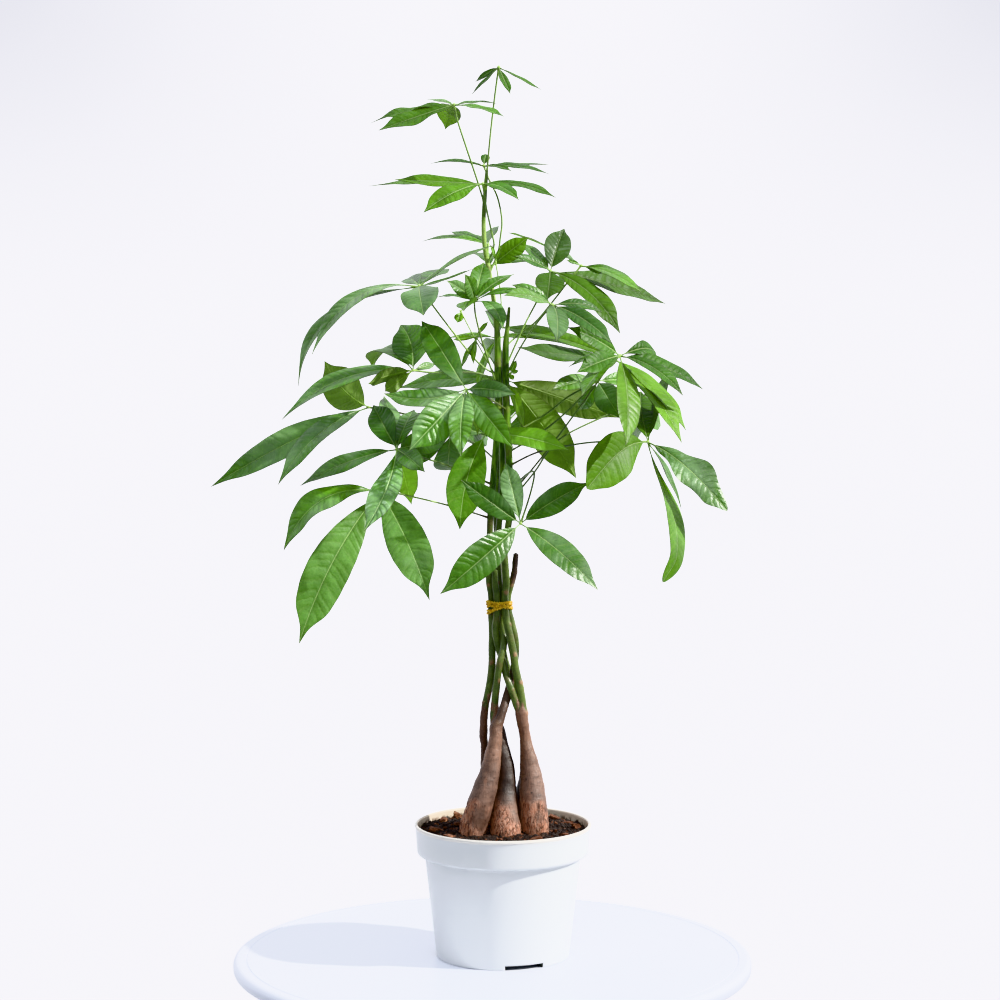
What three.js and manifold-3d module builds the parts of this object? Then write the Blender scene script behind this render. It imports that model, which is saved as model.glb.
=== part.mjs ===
// A potted money tree: five swollen trunks in a white nursery pot, their stems tied in a bundle,
// with a crown of compound leaves. Millimetres, +Z up, the pot stands on z = 0 around the Z axis.
import * as THREE from "three";
import { mergeVertices } from "three/addons/utils/BufferGeometryUtils.js";
import Module from "manifold-3d";

const wasm = await Module();
wasm.setup();

// Sizes.
const POT_HEIGHT = 129;
const POT_RIM_RADIUS = 85;
const POT_BAND_LOW_RADIUS = 82.6;
const POT_BAND_BOTTOM = 100;
const POT_BODY_TOP_RADIUS = 75.4;
const POT_FOOT_RADIUS = 64.1;
const POT_WALL = 1.9;
const POT_FLOOR = 2;
const POT_SIDES = 32;
const NOTCHES = 3;
const NOTCH_HEIGHT = 4.7;
const NOTCH_HALF_ANGLE = 17.3;
const NOTCH_FIRST_ANGLE = -71; // the front one stands 19 degrees right of the front
const NOTCH_DEPTH = 15;
const NOTCH_ROOF = 2;
const DRAIN_HOLE_RADIUS = 3.5;
const GAP = 0.35;
const SOIL_EDGE = 121;
const SOIL_RISE = 3.2;
const LEAF_THICKNESS = 0.8;
const LEAF_FOLD = 0.13; // how far the two halves of a blade rise, as a share of its half width
const NATURAL_WIDTH = 0.3; // a leaflet's width beside its length
const HUB_RADIUS = 2.3;
const PETIOLE_RADIUS = 1.05;

// Positions along the plant are written as seen from the front: across and height in the upright
// plane through the pot's axis, and how far the point stands toward the viewer.
const VIEW_DISTANCE = 2890;
const VIEW_HEIGHT = 735;
const VIEW_SIDE = -2.7;

function at(across, height, toward) {
  const k = 1 - toward / VIEW_DISTANCE;
  return new THREE.Vector3(
    VIEW_SIDE + (across - VIEW_SIDE) * k,
    -toward,
    VIEW_HEIGHT + (height - VIEW_HEIGHT) * k,
  );
}

// Helpers.
function signedVolume(positions, index) {
  let sum = 0;
  const a = new THREE.Vector3();
  const b = new THREE.Vector3();
  const c = new THREE.Vector3();
  for (let i = 0; i < index.length; i += 3) {
    a.fromArray(positions, index[i] * 3);
    b.fromArray(positions, index[i + 1] * 3);
    c.fromArray(positions, index[i + 2] * 3);
    sum += a.dot(b.cross(c)) / 6;
  }
  return sum;
}

// A closed geometry as a solid, turned the right way out.
function solid(geometry) {
  const g = geometry.clone();
  for (const name of Object.keys(g.attributes)) {
    if (name !== "position") {
      g.deleteAttribute(name);
    }
  }
  const merged = mergeVertices(g, 1e-4);
  const positions = Float32Array.from(merged.attributes.position.array);
  const index = [];
  const raw = merged.index.array;
  for (let i = 0; i < raw.length; i += 3) {
    if (raw[i] !== raw[i + 1] && raw[i + 1] !== raw[i + 2] && raw[i] !== raw[i + 2]) {
      index.push(raw[i], raw[i + 1], raw[i + 2]);
    }
  }
  if (signedVolume(positions, index) < 0) {
    for (let i = 0; i < index.length; i += 3) {
      const keep = index[i + 1];
      index[i + 1] = index[i + 2];
      index[i + 2] = keep;
    }
  }
  return new wasm.Manifold(
    new wasm.Mesh({ numProp: 3, vertProperties: positions, triVerts: Uint32Array.from(index) }),
  );
}

function join(solids) {
  let all = solids[0];
  for (let i = 1; i < solids.length; i++) {
    all = all.add(solids[i]);
  }
  return all;
}

// The largest separate body of a solid.
function mainBody(body) {
  let best = null;
  let most = 0;
  for (const piece of body.decompose()) {
    const mesh = piece.getMesh();
    const size = Math.abs(signedVolume(mesh.vertProperties, mesh.triVerts));
    if (size > most) {
      most = size;
      best = piece;
    }
  }
  return best;
}

const group = new THREE.Group();

const MERGE = 0.12; // corners nearer to a flat face or a straight edge than this are dropped

function addMesh(name, body, color, roughness) {
  const mesh = body.asOriginal().simplify(MERGE).getMesh();
  const g = new THREE.BufferGeometry();
  g.setAttribute("position", new THREE.BufferAttribute(Float32Array.from(mesh.vertProperties), 3));
  g.setIndex(Array.from(mesh.triVerts));
  g.computeVertexNormals();
  const material = new THREE.MeshStandardMaterial({ color, roughness, metalness: 0 });
  const out = new THREE.Mesh(g, material);
  out.name = name;
  group.add(out);
}

// A point of the smooth curve through four neighbours, and the same for plain numbers.
function smooth(a, b, c, d, t) {
  return 0.5 * (2 * b + (c - a) * t + (2 * a - 5 * b + 4 * c - d) * t * t
    + (3 * b - a - 3 * c + d) * t * t * t);
}

// Stations [across, height, toward, radius] made into evenly finer ones in space.
function smoothPath(stations, steps) {
  const rows = stations.map(([u, z, t, r]) => {
    const p = at(u, z, t);
    return [p.x, p.y, p.z, r];
  });
  const out = [];
  for (let i = 0; i < rows.length - 1; i++) {
    const a = rows[Math.max(i - 1, 0)];
    const b = rows[i];
    const c = rows[i + 1];
    const d = rows[Math.min(i + 2, rows.length - 1)];
    for (let s = 0; s < steps; s++) {
      out.push(b.map((v, k) => smooth(a[k], v, c[k], d[k], s / steps)));
    }
  }
  out.push(rows[rows.length - 1]);
  return out;
}

// A round stem along a path of [x, y, z, radius] rows, closed at both ends.
function stemGeometry(rows, sides, extra = 0, lump = 0) {
  const points = rows.map((r) => new THREE.Vector3(r[0], r[1], r[2]));
  const positions = [];
  const index = [];
  let across = new THREE.Vector3(1, 0, 0);
  for (let i = 0; i < rows.length; i++) {
    const along = points[Math.min(i + 1, rows.length - 1)]
      .clone()
      .sub(points[Math.max(i - 1, 0)])
      .normalize();
    across = across.sub(along.clone().multiplyScalar(across.dot(along))).normalize();
    const other = new THREE.Vector3().crossVectors(along, across);
    for (let k = 0; k < sides; k++) {
      const angle = (2 * Math.PI * k) / sides;
      const wave = 1 + lump * Math.sin(3 * angle + points[i].z * 0.09);
      const radius = rows[i][3] * wave + extra;
      positions.push(
        ...points[i]
          .clone()
          .add(across.clone().multiplyScalar(Math.cos(angle) * radius))
          .add(other.clone().multiplyScalar(Math.sin(angle) * radius))
          .toArray(),
      );
    }
  }
  for (let i = 0; i < rows.length - 1; i++) {
    for (let k = 0; k < sides; k++) {
      const a = i * sides + k;
      const b = i * sides + ((k + 1) % sides);
      index.push(a, b, b + sides, a, b + sides, a + sides);
    }
  }
  const last = (rows.length - 1) * sides;
  for (let k = 1; k < sides - 1; k++) {
    index.push(0, k + 1, k, last, last + k, last + k + 1);
  }
  const g = new THREE.BufferGeometry();
  g.setAttribute("position", new THREE.BufferAttribute(new Float32Array(positions), 3));
  g.setIndex(index);
  return g;
}

// Trunks and stems: [across, height, toward, radius].
const TRUNKS = {
  trunk_a: [[
    [-30, 95, 24, 8.5], [-29.5, 119, 24, 12.5], [-24, 140, 24, 12.8],
    [-18, 160, 23, 11.8], [-12.7, 178, 20.5, 9.7], [-9.5, 195, 18.5, 7.9], [-7.3, 210, 17, 6.6],
    [-6.4, 222, 15.5, 6.1], [-2.8, 231, 13.5, 4.7], [0.3, 240, 10.5, 4.5], [3.5, 250, 5.6, 4.1],
    [6.2, 262, 0.4, 3.7], [9.2, 273, -0.5, 3.6], [11.4, 285, -1, 3.5], [12.5, 297, -0.5, 3.5],
    [11.5, 310, 0, 3.5], [8.5, 323, -1, 3.5], [5.2, 336, -1.5, 3.5], [4.8, 349, -1.5, 3.4],
    [7.6, 359, 0, 3.2], [10.2, 369, 1, 3], [11.6, 379, 1.5, 2.9], [12.6, 390, 2, 2.6],
  ]],
  trunk_b: [[
    [3, 95, 25, 10.5], [3, 117, 24, 14.8], [2, 140, 18, 12.6],
    [2.2, 158, 12, 11], [3, 175, 8, 9.4], [1.3, 190, 5, 8.4], [-2.4, 205, 3, 7.8],
    [-5, 219, 1.5, 7.3], [-7, 228, 0.5, 5.4], [-8, 237, 0, 4.2], [-7.3, 250, 1, 3.7],
    [-6.3, 260, 3, 3.6], [-5, 271, 6, 3.5], [-3, 285, 9, 3.4], [0.2, 297, 6.4, 3.4],
    [0.9, 304, 3.2, 3.4], [0.6, 312, -0.4, 3.4], [-1.6, 321, -1.6, 3.4], [-2.9, 331, -1.7, 3.4], [-2.8, 350, -1.6, 3.3],
    [-4, 368, -3, 3.2], [-5, 388, -3.5, 3.1], [-4, 412, -4, 3], [-1.5, 440, -6, 3],
    [-0.5, 470, -7.5, 2.9], [-0.8, 505, -8.5, 2.8], [-1, 545, -9, 2.6], [-0.5, 572, -9.5, 2.2],
  ]],
  trunk_c: [
    [
      [31, 95, 16, 9.5], [31, 117, 16, 13.2], [29.7, 138, 14, 13.6],
      [28.6, 155, 11, 12.8], [27.3, 171, 9, 11.2], [25.2, 188, 8, 9], [22.7, 203, 7.5, 6.4],
      [21.2, 214, 7, 5.4], [19.3, 226, 7.5, 6], [17.8, 236, 8, 6.2], [18.3, 245, 8, 4.6],
      [17.5, 253, 8, 4.1], [16.2, 261, 8, 4], [13.9, 271, 8, 3.9], [11.8, 281, 8, 3.8],
      [10.6, 291, 8, 3.8], [8.4, 302, 8, 3.7], [6, 314, 7.8, 3.6], [3.4, 326, 6.5, 3.5],
      [2, 338, 5.6, 3.5], [2, 350, 5.6, 3.5], [3.2, 363, 5.5, 3.5], [2.2, 380, 5, 3.4],
      [1.6, 393, 4.5, 3.3], [3.6, 407, 4, 3.3], [6.5, 427, 3, 3.3], [7, 450, 1, 3.4],
      [5.8, 480, 0, 3.6], [4.4, 510, -0.5, 3.7], [3, 540, -1, 3.7], [2.5, 570, -1, 3.6],
      [2.8, 594, -1.5, 3.4], [4.3, 608, -2, 2.8], [6, 625, -2, 2.2],
    ],
    [
      [17.4, 231, 8, 3.6], [15.8, 238, 8.6, 4], [13.4, 244, 9, 3.9], [10.6, 252, 9.5, 3.6],
      [7.4, 261, 9.5, 3.4], [4.1, 270, 7, 3.4], [1.8, 278, 3, 3.3], [0.3, 286, 1.5, 3.3],
      [-3.9, 298, -0.9, 3.3], [-6.7, 311, 0.3, 3.3], [-7.2, 320, 2.8, 3.3], [-5.9, 331, 5.4, 3.3],
      [-5.8, 349, 5.6, 3.3], [-7.5, 361, 5.5, 3.2], [-7.6, 375, 5, 2.9],
    ],
  ],
  trunk_d: [[
    [-20, 95, -18, 8], [-20, 119, -17, 12], [-19, 140, -15, 11.6],
    [-17.6, 160, -12, 9.4], [-15.6, 177, -10, 6.4], [-16.8, 190, -8, 4.6], [-17.6, 202, -6, 3.8],
    [-18.5, 216, -5, 4.2], [-18.2, 230, -4.5, 3.9], [-16.6, 244, -3.5, 3.7], [-14, 257, -3, 3.6],
    [-11.8, 270, -2.5, 3.6], [-10.4, 285, -3.8, 3.6], [-10.4, 299, -5.8, 3.6], [-10.2, 312, -6.4, 3.5],
    [-10.4, 322, -4.8, 3.5], [-11, 332, -1.7, 3.4], [-11, 350, -0.6, 3.4], [-13.2, 363, 0, 3.3],
    [-13, 381, 0, 3.2], [-12.6, 402, 1, 3.1], [-12, 425, 2, 3.1], [-10, 452, 3, 3.2],
    [-7.5, 481, 4, 3.3], [-5.2, 511, 4, 3.3], [-4.6, 541, 4, 3.3], [-5, 571, 3, 3.3],
    [-5.6, 601, 2, 3.2], [-8, 630, 0, 3.1], [-13, 658, -2, 3], [-17.2, 682, -3, 2.7],
    [-18.2, 705, -3, 2.4], [-17.2, 725, -3, 2.2], [-16.1, 742, -3, 1.9], [-15.2, 753, -3, 1.5],
  ]],
  trunk_e: [[
    [20, 95, -18, 8], [20.5, 119, -18, 12], [21.5, 148, -16.5, 11.4],
    [23.6, 172, -13, 8.4], [23.7, 190, -11, 6.2], [21.5, 210, -8, 4.6], [18.8, 229, -5.5, 3.9],
    [17, 243, -4.5, 3.7], [14.5, 253, -6, 3.6], [10.5, 264, -8.2, 3.5], [6, 275, -9.4, 3.5],
    [2.5, 286, -9, 3.4], [0, 298, -8.2, 3.4], [-1.6, 313, -8.8, 3.4], [-2.6, 328, -9.4, 3.4],
    [-2.6, 350, -9.4, 3.3], [-4, 380, -11.5, 3.2], [-6, 420, -14, 3.1], [-6, 460, -17, 3],
    [-4.4, 500, -19.5, 2.9], [-2.5, 540, -21, 2.7], [-1, 578, -22, 2.3],
  ]],
};

const STEM_SIDES = 8;
const TRUNK_STEPS = { trunk_a: 1, trunk_b: 1, trunk_c: 1, trunk_d: 1, trunk_e: 1 };
const TRUNK_COLOR = 0x7d6355;

function trunkSolid(name, extra) {
  return join(
    TRUNKS[name].map((run) =>
      solid(stemGeometry(smoothPath(run, TRUNK_STEPS[name]), STEM_SIDES, extra, 0.02))),
  );
}

const trunkNames = Object.keys(TRUNKS);
const trunks = trunkNames.map((name) => trunkSolid(name, 0));
const clearTrunks = trunkNames.map((name) => trunkSolid(name, GAP + 0.1));
trunkNames.forEach((name, i) => addMesh(name, trunks[i], TRUNK_COLOR, 0.85));

// The tie: strands wound around the bundle of stems, crossing each other.
const TIE_ACROSS = 13.1; // half width of the winding
const TIE_DEPTH = 14;
const TIE_CENTRE = [-3.3, -1.9];
const TIE_STRAND = 1.15;
const TIE_TURNS = [ // [height, lean across, lean in depth]
  [343.4, 0.9, -1], [340.6, -1.6, 1.2], [337.8, 1.9, 0.8], [335.2, 1.4, -1],
];

function tieTurn([height, lean, nod]) {
  const rows = [];
  const steps = 14;
  for (let i = 0; i < steps; i++) {
    const angle = (2 * Math.PI * i) / steps;
    const u = Math.cos(angle);
    const v = Math.sin(angle);
    rows.push(at(
      TIE_CENTRE[0] + TIE_ACROSS * u,
      height + lean * u + nod * v,
      TIE_CENTRE[1] + TIE_DEPTH * v,
    ));
  }
  const sides = 4;
  const positions = [];
  const index = [];
  const middle = at(TIE_CENTRE[0], height, TIE_CENTRE[1]);
  rows.forEach((p) => {
    const out = p.clone().sub(middle).setZ(0).normalize();
    for (let k = 0; k < sides; k++) {
      const angle = (2 * Math.PI * k) / sides;
      positions.push(
        p.x + out.x * Math.cos(angle) * TIE_STRAND,
        p.y + out.y * Math.cos(angle) * TIE_STRAND,
        p.z + Math.sin(angle) * TIE_STRAND,
      );
    }
  });
  for (let i = 0; i < steps; i++) {
    for (let k = 0; k < sides; k++) {
      const a = i * sides + k;
      const b = i * sides + ((k + 1) % sides);
      const c = ((i + 1) % steps) * sides + k;
      const d = ((i + 1) % steps) * sides + ((k + 1) % sides);
      index.push(a, b, d, a, d, c);
    }
  }
  const g = new THREE.BufferGeometry();
  g.setAttribute("position", new THREE.BufferAttribute(new Float32Array(positions), 3));
  g.setIndex(index);
  return solid(g);
}

const tieBody = clearTrunks.reduce((body, t) => body.subtract(t), join(TIE_TURNS.map(tieTurn)));
addMesh("tie", mainBody(tieBody), 0xc79a2a, 0.45);

// The pot.
function lathe(profile, sides) {
  const g = new THREE.LatheGeometry(profile.map(([r, z]) => new THREE.Vector2(r, z)), sides);
  g.rotateX(Math.PI / 2);
  return g;
}

function wallRadius(z) { // outside of the tapering body
  return POT_FOOT_RADIUS + ((POT_BODY_TOP_RADIUS - POT_FOOT_RADIUS) * z) / POT_BAND_BOTTOM;
}

const potProfile = [
  [0, 0], [POT_FOOT_RADIUS - 0.6, 0], [POT_FOOT_RADIUS, 0.6],
  [POT_BODY_TOP_RADIUS, POT_BAND_BOTTOM], [POT_BAND_LOW_RADIUS - 2.2, POT_BAND_BOTTOM + 0.2],
  [POT_BAND_LOW_RADIUS - 0.6, POT_BAND_BOTTOM + 1.2],
  [POT_BAND_LOW_RADIUS, POT_BAND_BOTTOM + 3.4], [POT_RIM_RADIUS, POT_HEIGHT - 0.9],
  [POT_RIM_RADIUS - 0.6, POT_HEIGHT], [POT_RIM_RADIUS - 1.6, POT_HEIGHT],
  [POT_RIM_RADIUS - 2.1, POT_HEIGHT - 0.9],
  [POT_BAND_LOW_RADIUS - POT_WALL - 0.3, POT_BAND_BOTTOM + 4],
  [POT_BODY_TOP_RADIUS - POT_WALL, POT_BAND_BOTTOM + 1.8],
  [wallRadius(POT_FLOOR) - POT_WALL, POT_FLOOR], [0, POT_FLOOR],
];

// A sector of a ring between two radii, from one height to another.
function sector(inner, outer, halfAngle, middle, low, high) {
  const shape = new THREE.Shape();
  const a0 = ((middle - halfAngle) * Math.PI) / 180;
  const a1 = ((middle + halfAngle) * Math.PI) / 180;
  const steps = 6;
  for (let i = 0; i <= steps; i++) {
    const a = a0 + ((a1 - a0) * i) / steps;
    const p = [outer * Math.cos(a), outer * Math.sin(a)];
    if (i === 0) {
      shape.moveTo(...p);
    } else {
      shape.lineTo(...p);
    }
  }
  for (let i = steps; i >= 0; i--) {
    const a = a0 + ((a1 - a0) * i) / steps;
    shape.lineTo(inner * Math.cos(a), inner * Math.sin(a));
  }
  const g = new THREE.ExtrudeGeometry(shape, { depth: high - low, bevelEnabled: false });
  g.translate(0, 0, low);
  return solid(g);
}

function cylinder(radius, low, high, x, y) {
  const g = new THREE.CylinderGeometry(radius, radius, high - low, 12);
  g.rotateX(Math.PI / 2);
  g.translate(x, y, (low + high) / 2);
  return solid(g);
}

let pot = solid(lathe(potProfile, POT_SIDES));
let soilCut = null;
for (let i = 0; i < NOTCHES; i++) {
  const middle = NOTCH_FIRST_ANGLE + (360 * i) / NOTCHES;
  const inner = POT_FOOT_RADIUS - NOTCH_DEPTH;
  const side = (2 / inner) * (180 / Math.PI);
  const block = sector(
    inner - 2, POT_FOOT_RADIUS - 1, NOTCH_HALF_ANGLE + side, middle, 0.5, NOTCH_HEIGHT + NOTCH_ROOF,
  );
  const hollow = sector(inner, POT_FOOT_RADIUS + 4, NOTCH_HALF_ANGLE, middle, -1, NOTCH_HEIGHT);
  const a = (middle * Math.PI) / 180;
  const hole = (inner + POT_FOOT_RADIUS - 2) / 2;
  pot = pot.add(block).subtract(hollow).subtract(
    cylinder(DRAIN_HOLE_RADIUS, 1, 12, hole * Math.cos(a), hole * Math.sin(a)),
  );
  const clear = sector(
    inner - 2 - GAP, POT_FOOT_RADIUS + 4, NOTCH_HALF_ANGLE + side + 0.5, middle, -1,
    NOTCH_HEIGHT + NOTCH_ROOF + GAP,
  );
  soilCut = soilCut ? soilCut.add(clear) : clear;
}
addMesh("pot", pot, 0xe9ebf2, 0.42);

// The soil: a lumpy top with bark chips, filling the pot.
function lumps(x, y) {
  const r = Math.hypot(x, y) / 80;
  return SOIL_RISE * (1 - r * r)
    + 0.9 * Math.sin(0.17 * x + 1.3) * Math.cos(0.21 * y)
    + 0.7 * Math.sin(0.31 * x - 0.26 * y + 0.5)
    + 0.5 * Math.cos(0.44 * y + 0.13 * x);
}

const soilInside = (z) => wallRadius(z) - POT_WALL - GAP;
const bandInside = POT_BAND_LOW_RADIUS - POT_WALL - 0.3 - GAP;
const soilProfile = [
  [0, POT_FLOOR + GAP], [soilInside(POT_FLOOR) - 0.3, POT_FLOOR + GAP],
  [soilInside(POT_BAND_BOTTOM), POT_BAND_BOTTOM + 2.3], [bandInside, POT_BAND_BOTTOM + 4.6],
];
const soilTop = [79.5, 70, 57, 44, 30, 15, 0];
const soilGeometry = lathe(
  [...soilProfile, ...soilTop.map((r) => [r, SOIL_EDGE])],
  POT_SIDES,
);
{
  const p = soilGeometry.attributes.position;
  for (let i = 0; i < p.count; i++) {
    if (p.getZ(i) > SOIL_EDGE - 1) {
      p.setZ(i, SOIL_EDGE + lumps(p.getX(i), p.getY(i)));
    }
  }
}
// Bark chips: [across x, toward -y, length, width, height, turn, tip]
const CHIPS = [
  [-42, -58, 13, 5, 5, 0.4, 0.6], [-58, -42, 9, 6, 4, 1.2, -0.3], [62, -30, 12, 7, 5, 2.1, 0.3],
  [71, -6, 10, 6, 5, 0.7, 0.5], [52, -52, 12, 6, 4, 2.6, -0.4], [-64, 8, 11, 7, 4, 0.2, 0.3],
  [-50, 36, 13, 7, 4, 0.9, 0.2], [-14, 58, 12, 7, 4, 2.4, 0.2], [30, 50, 13, 6, 4, 0.3, -0.3],
  [58, 24, 11, 7, 4, 1.7, 0.3], [-2, -52, 12, 6, 4, 1.0, 0.3], [14, -66, 10, 6, 4, 2.2, 0.4],
  [-30, -68, 11, 6, 5, 2.9, -0.4], [38, -6, 10, 6, 3, 0.5, 0.3], [-44, -14, 11, 6, 4, 1.5, 0.2],
];
let soil = solid(soilGeometry);
for (const [x, y, length, width, height, turn, tip] of CHIPS) {
  const g = new THREE.BoxGeometry(length, width, height, 1, 1, 1);
  g.rotateX(tip);
  g.rotateY(tip * 0.8);
  g.rotateZ(turn);
  g.translate(x, -y, SOIL_EDGE + lumps(x, -y) + height * 0.18);
  soil = soil.add(solid(g));
}
soil = soil.subtract(soilCut);
clearTrunks.forEach((t) => {
  soil = soil.subtract(t);
});
addMesh("soil", mainBody(soil), 0x2b1a12, 0.95);

// Each leaf: its petiole from the stem outward to the hub, [across, height, toward], the last
// being the hub, and its leaflets [across, height, toward of the tip, width as seen from the
// front (negative where the underside shows), rise of the midrib, sideways sweep, and skew: how
// much later than the middle the bend comes].
const LEAVES = [
  { // 01, the topmost young leaf
    path: [[-15.3, 748, -3], [-12, 785, 0], [-8, 820, 2], [-4, 850, 4]],
    leaflets: [
      [-26, 836, -10, 5, 1], [-29, 825, 18, 3, 0], [7, 825, 26, 8, 0], [36, 829, -4, 3, 0],
    ],
  },
  { // 02
    path: [[-17.5, 722, -3], [-23.5, 742, 4], [-34.5, 775, 14], [-43, 801, 20], [-46, 815, 22]],
    leaflets: [
      [-124, 798, 10, 6, 3.5], [-117, 791, 50, 13, 0.5], [-54, 792, -40, -24, 4, 2.5], [1, 804, 48, 4, 2.5],
      [-6, 816, 6, 3, 2], [-71, 820, -12, 3, 1],
    ],
  },
  { // 03
    path: [
      [-13, 657, -2], [-5, 675, -3], [-2.5, 690, -1], [-1, 707, -1], [-5, 728, -4],
      [-13, 745, -10], [-18, 758, -13],
    ],
    leaflets: [
      [-68, 760, -34, 3, 3], [-51, 763, -56, 2, 0.5], [8, 753, 8, 4, 2], [44, 750, -22, 6, 3.5],
      [43, 759, -52, 3, 0.5], [-16, 769, -26, 9, 1],
    ],
  },
  { // 04
    path: [[-14.5, 666, -2], [-8.5, 682, 5], [-11, 697, 8], [-15.5, 718, 11], [-19, 741, 11]],
    leaflets: [
      [-102, 745, 28, 10, 0], [-126, 739, -20, 3, 2], [-75, 714, 64, 17, 6], [37, 738, -2, 4, 2.5],
      [50, 728, 30, 6, 6], [15, 726, 58, 9, 5],
    ],
  },
  { // 05
    path: [[-13, 656, -2], [-14, 672, -16], [-14, 684, -26]],
    leaflets: [[-76, 687, -44, 4, 5], [-50, 696, -72, 5, 2], [-9, 700, -92, 13, 2, -1]],
  },
  { // 06, the arching leaf on the left
    path: [[-5, 560, 4], [-22, 571, 10], [-40, 592, 18], [-66, 626, 32], [-79, 645, 36]],
    leaflets: [
      [-194, 550, 56, 7, 31, 0, 0.25], [-181, 580, 84, 11, 24], [-6, 684, 14, 4, 4],
      [-75, 617, 104, 36, 6], [-57, 661, -70, 13, 2],
      [-90, 652, -28, 14, 3], [-29, 661, 60, 3, -2],
    ],
  },
  { // 07
    path: [[-5, 548, 5], [-15, 578, 24], [-21, 597, 36], [-26, 618, 46], [-27, 631, 50]],
    leaflets: [
      [-18, 667, 8, 19, 3], [11, 656, 28, 9, 4], [-53, 650, 84, 12, 3], [0, 604, 100, 10, 5, 4],
      [20, 640, 66, 4, 4], [-63, 634, 30, 3, 3], [-37, 621, 118, 7, 4], [-36, 656, 96, 12, 2],
    ],
  },
  { // 08
    path: [[3, 568, -1], [10, 585, -6], [22, 611, -13], [33, 632, -22], [41, 650, -28], [45, 659, -30]],
    leaflets: [
      [58, 699, -60, 26, 3, 1], [154, 628, -104, 14, 4], [111, 600, 8, 18, 12], [17, 686, -62, 9, 2],
      [11, 673, -6, 8, 3], [42, 632, 40, 28, 4],
    ],
  },
  { // 09
    path: [[3, 588, -1], [14, 598, -17], [31, 611, -26], [47, 630, -30], [61, 648, -31], [74, 664, -31]],
    leaflets: [
      [96, 660, -44, 9, 9], [131, 639, -4, 6, 5], [128, 645, -50, 5, 5], [5, 695, -150, 3, 3],
      [60, 669, -26, 4, 2],
    ],
  },
  { // 10
    path: [[3.5, 560, -1], [13, 580, 20], [25, 600, 42], [38, 617, 58], [47, 627, 64]],
    leaflets: [
      [94, 620, 52, 9, 6], [104, 590, 104, 15, 6], [51, 592, 134, 20, 6], [8, 646, 70, 10, 5],
      [1, 636, 112, 9, 5],
    ],
  },
  { // 11
    path: [
      [7, 446, 1], [28, 471, 12], [50, 499, 24], [75, 533, 38], [98, 565, 50], [111, 579, 54],
    ],
    leaflets: [
      [61, 606, 84, 16, 5], [145, 582, 10, 14, 10, 0, -0.3], [190, 547, 34, 13, 6], [171, 541, 84, 10, 8],
      [70, 563, 108, 19, 5], [62, 568, 40, 4, 5], [117, 494, 120, 22, 6], [75, 541, 130, 8, 4],
    ],
  },
  { // 12, backlit behind the last
    path: [[5, 487, 0], [38, 507, -10], [72, 537, -12], [104, 577, -8]],
    leaflets: [
      [-8, 606, -88, 10, 6], [14, 587, 18, 12, 1, -3], [170, 496, 44, 16, 10], [174, 508, 26, 12, 8],
    ],
  },
  { // 13
    path: [[6, 474, 1], [30, 486, 12], [54, 492, 21], [90, 497, 36], [138, 497, 54]],
    leaflets: [
      [80, 452, 112, 42, 6, 9, -0.4], [214, 431, 92, 26, 10, 1, -0.2], [159, 362, 104, 20, 8, 5, 0.8],
      [170, 433, 60, 4, 3],
      [131, 545, -44, 28, 4, -4], [153, 560, -84, 14, 3],
    ],
  },
  { // 14, the open leaf low in front
    path: [
      [6.5, 450, 1], [14, 458, 14], [24, 467, 36], [30, 467, 58], [26, 447, 80], [17, 419, 94],
    ],
    leaflets: [
      [3, 477, 74, 21, 4], [-40, 461, 112, 22, 5], [82, 458, 86, 24, 6, 3], [-60, 351, 130, 32, 8],
      [91, 355, 126, 22, 8, -1],
    ],
  },
  { // 15
    path: [[-12, 424, 2], [-51, 436, 20], [-97, 447, 46], [-117, 450, 56]],
    leaflets: [[-195, 303, 116, 41, 10, 8], [-70, 345, 122, 38, 8, 4.5], [-209, 393, 84, 20, 16, 10]],
  },
  { // 16
    path: [[-9.5, 456, 3], [-52, 474, 36], [-80, 483, 60], [-101, 490, 74]],
    leaflets: [
      [-193, 455, 64, 14, 6], [-132, 412, 140, 25, 8, -9], [-123, 532, 30, 26, 3], [-84, 528, 0, 20, 3],
      [-49, 504, 112, 24, 4], [-74, 468, 134, 18, 4], [-87, 437, 10, -26, 4],
      [-113, 541, -10, 14, 2],
    ],
  },
  { // 17
    path: [[2.5, 528, -1], [-6, 534, 30], [-18, 541, 70], [-29, 546, 104], [-35, 547, 118]],
    leaflets: [
      [-77, 612, 60, 27, 4], [12, 542, 158, 15, 5], [10, 491, 160, 25, 6], [-40, 483, 176, 23, 7],
      [-89, 489, 160, 34, 7], [-113, 543, 96, 17, 2, -8], [-24, 503, 92, -10, 3],
    ],
  },
  { // 18
    path: [[-5, 498, 4], [-9, 502, 26], [-16, 505, 54]],
    leaflets: [
      [-41, 413, 102, 35, 8, 6], [63, 489, 84, 18, 6], [-60, 516, 44, 14, 4],
    ],
  },
  { // 19
    path: [[-5.5, 500, 4], [-45, 512, -4], [-95, 524, -8], [-128, 530, -6]],
    leaflets: [
      [-278, 454, 10, 26, 9], [-214, 456, 44, 18, 14], [-169, 574, -40, -38, 4, -6],
    ],
  },
  { // 20
    path: [[-4.5, 552, 4], [-22, 562, 10], [-45, 563, 18], [-68, 563, 26], [-85, 565, 30]],
    leaflets: [
      [-210, 518, 50, 13, 18], [-97, 608, -18, 36, 3, 5], [-124, 566, -60, 6, 22],
      [-128, 552, 78, -14, 3], [-112, 545, 66, -14, 4], [-64, 571, 10, 7, 1],
    ],
  },
  { // 21
    path: [[-1, 528, -9], [0, 544, -28], [2, 556, -46]],
    leaflets: [
      [110, 520, -94, -30, 8], [70, 462, -34, -38, 8, 3], [20, 510, -12, -10, 3], [-99, 548, -72, 14, 6],
      [-10, 540, -132, 16, 6],
    ],
  },
  { // 22
    path: [[-12, 652, -2], [-12, 658, -18], [-11, 664, -34]],
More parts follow.
